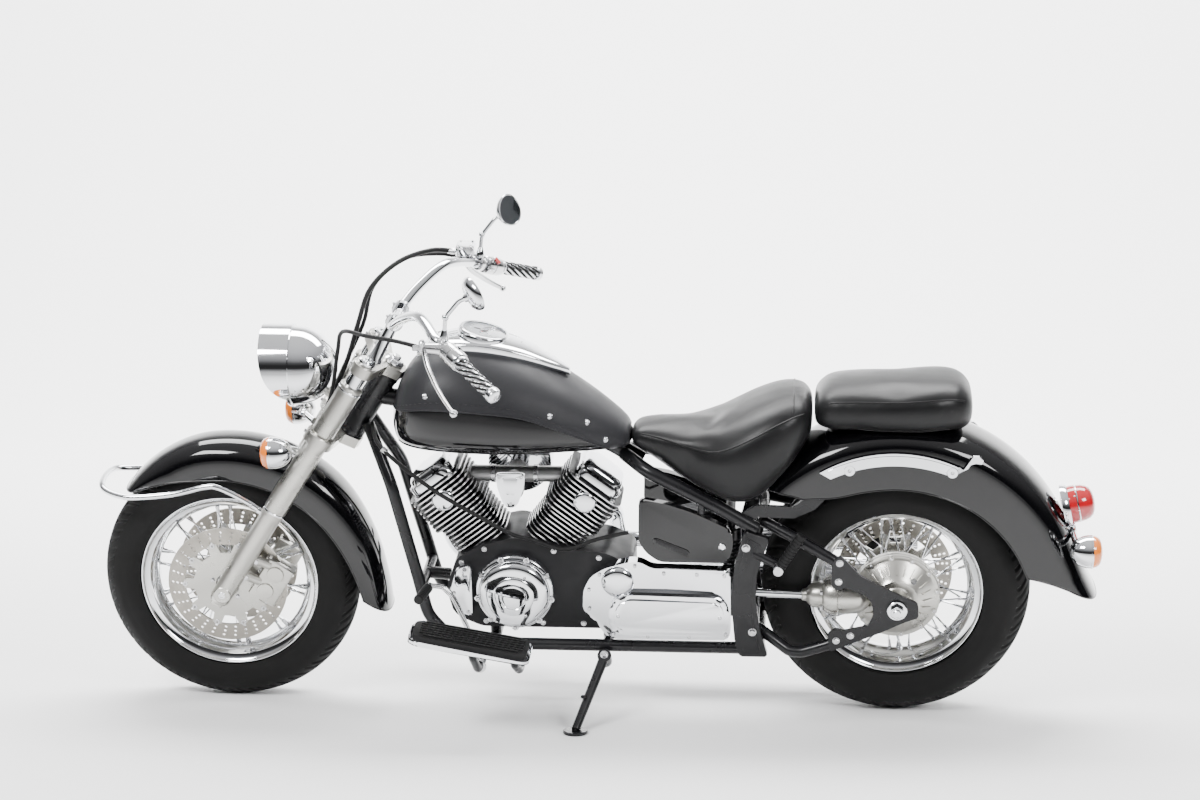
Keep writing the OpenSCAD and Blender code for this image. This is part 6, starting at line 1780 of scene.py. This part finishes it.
class CruiserLooks(PropertyGroup):
    """Sizes and colours that change the motorcycle's look"""
    paint: FloatVectorProperty(name="Paint", description="Colour of the tank and fenders", subtype='COLOR',
                               size=3, min=0, max=1, default=(0.0015, 0.0015, 0.0020))
    chrome: FloatVectorProperty(name="Chrome", description="Tint of the plated pieces", subtype='COLOR',
                                size=3, min=0, max=1, default=(0.86, 0.87, 0.89))
    leather: FloatVectorProperty(name="Seat leather", description="Colour of both seats", subtype='COLOR',
                                 size=3, min=0, max=1, default=(0.006, 0.006, 0.0065))
    tread_depth: FloatProperty(name="Tread depth", description="Depth of the tyre grooves", unit='LENGTH',
                               min=0, max=0.008, default=0.0035)
    seat_pressure: FloatProperty(name="Seat fill", description="Pressure that fills the seat pads",
                                 min=0, max=10, default=4.0)


class CruiserStudio(PropertyGroup):
    """Light, paper and lens of the studio"""
    paper: FloatVectorProperty(name="Paper", description="Colour of the floor and backdrop",
                               subtype='COLOR',
                               size=3, min=0, max=1, default=(0.90, 0.90, 0.90))
    light: FloatProperty(name="Lamps", description="Strength of the studio lamps", min=0, max=10,
                         default=1.0)
    sky: FloatProperty(name="Surroundings", description="Strength of the room's own light", min=0, max=10,
                       default=1.0)
    lens: FloatProperty(name="Lens", description="Focal length in millimetres", min=10, max=300,
                        default=79.74)


class CRUISER_OT_wheels(Operator):
    """Build both wheels with their tyres, rims, spokes, hubs and brake discs"""
    bl_idname = "cruiser.wheels"
    bl_label = "Wheels"

    def execute(self, context):
        build_front_wheel()
        build_rear_wheel()
        return {'FINISHED'}


class CRUISER_OT_fork(Operator):
    """Build the fork legs, the yokes with their risers and the handlebar"""
    bl_idname = "cruiser.fork"
    bl_label = "Fork and bar"

    def execute(self, context):
        build_fork()
        return {'FINISHED'}


class CRUISER_OT_grips(Operator):
    """Build the grips"""
    bl_idname = "cruiser.grips"
    bl_label = "Grips"

    def execute(self, context):
        build_grips()
        return {'FINISHED'}


class CRUISER_OT_hand_controls(Operator):
    """Build the levers, the switch pods and the brake reservoir"""
    bl_idname = "cruiser.hand_controls"
    bl_label = "Hand controls"

    def execute(self, context):
        build_hand_controls()
        return {'FINISHED'}


class CRUISER_OT_mirrors(Operator):
    """Build both mirrors"""
    bl_idname = "cruiser.mirrors"
    bl_label = "Mirrors"

    def execute(self, context):
        build_mirrors()
        return {'FINISHED'}


class CRUISER_OT_headlight(Operator):
    """Build the headlight with its visor, and the front turn signals"""
    bl_idname = "cruiser.headlight"
    bl_label = "Headlight and signals"

    def execute(self, context):
        build_headlight()
        build_front_signals()
        return {'FINISHED'}


class CRUISER_OT_fenders(Operator):
    """Build both fenders with the guard, the rails and the rear lamps"""
    bl_idname = "cruiser.fenders"
    bl_label = "Fenders"

    def execute(self, context):
        build_fenders()
        return {'FINISHED'}


class CRUISER_OT_tank(Operator):
    """Build the fuel tank, its leather bib and its console"""
    bl_idname = "cruiser.tank"
    bl_label = "Tank"

    def execute(self, context):
        build_tank()
        return {'FINISHED'}


class CRUISER_OT_seats(Operator):
    """Build both seats as filled leather pads with piping"""
    bl_idname = "cruiser.seats"
    bl_label = "Seats"

    def execute(self, context):
        build_seats()
        return {'FINISHED'}


class CRUISER_OT_engine(Operator):
    """Build the engine: case, cylinders, carburettors, covers and air cleaner"""
    bl_idname = "cruiser.engine"
    bl_label = "Engine"

    def execute(self, context):
        build_engine()
        return {'FINISHED'}


class CRUISER_OT_exhausts(Operator):
    """Build both exhaust pipes and silencers"""
    bl_idname = "cruiser.exhausts"
    bl_label = "Exhausts"

    def execute(self, context):
        build_exhausts()
        return {'FINISHED'}


class CRUISER_OT_frame(Operator):
    """Build the frame tubes and the side stand"""
    bl_idname = "cruiser.frame"
    bl_label = "Frame and stand"

    def execute(self, context):
        build_frame()
        return {'FINISHED'}


class CRUISER_OT_rear_end(Operator):
    """Build the swingarm, shock, final drive, axles, calipers and side covers"""
    bl_idname = "cruiser.rear_end"
    bl_label = "Rear end"

    def execute(self, context):
        build_rear_end()
        return {'FINISHED'}


class CRUISER_OT_feet(Operator):
    """Build the footboards, the foot levers and the passenger pegs"""
    bl_idname = "cruiser.feet"
    bl_label = "Footboards and pegs"

    def execute(self, context):
        build_feet()
        return {'FINISHED'}


class CRUISER_OT_cables(Operator):
    """Build the hoses and cables"""
    bl_idname = "cruiser.cables"
    bl_label = "Hoses and cables"

    def execute(self, context):
        build_cables()
        return {'FINISHED'}


class CRUISER_OT_stage(Operator):
    """Set up the paper, the lamps and the camera"""
    bl_idname = "cruiser.stage"
    bl_label = "Studio"

    def execute(self, context):
        build_stage()
        return {'FINISHED'}


STEPS = (CRUISER_OT_stage, CRUISER_OT_wheels, CRUISER_OT_fork, CRUISER_OT_grips, CRUISER_OT_hand_controls,
         CRUISER_OT_mirrors, CRUISER_OT_headlight, CRUISER_OT_fenders, CRUISER_OT_tank, CRUISER_OT_seats,
         CRUISER_OT_engine, CRUISER_OT_exhausts, CRUISER_OT_frame, CRUISER_OT_rear_end, CRUISER_OT_feet,
         CRUISER_OT_cables)


class CRUISER_PT_panel(Panel):
    """Lists the motorcycle's looks and the steps that build it"""
    bl_idname = "CRUISER_PT_panel"
    bl_label = "Cruiser motorcycle"
    bl_space_type = 'VIEW_3D'
    bl_region_type = 'UI'
    bl_category = "Cruiser"

    def draw(self, context):
        for group in (context.scene.cruiser_looks, context.scene.cruiser_studio):
            box = self.layout.box()
            for name in group.__annotations__:
                box.prop(group, name)
        for step in STEPS:
            self.layout.operator(step.bl_idname)


CLASSES = (CruiserLooks, CruiserStudio, *STEPS, CRUISER_PT_panel)


def register():
    for c in CLASSES:
        bpy.utils.register_class(c)
    bpy.types.Scene.cruiser_looks = PointerProperty(type=CruiserLooks)
    bpy.types.Scene.cruiser_studio = PointerProperty(type=CruiserStudio)


def unregister():
    del bpy.types.Scene.cruiser_studio
    del bpy.types.Scene.cruiser_looks
    for c in reversed(CLASSES):
        bpy.utils.unregister_class(c)


def main():
    register()
    for step in STEPS:
        group, name = step.bl_idname.split(".")
        getattr(getattr(bpy.ops, group), name)()


if __name__ == "__main__":
    main()
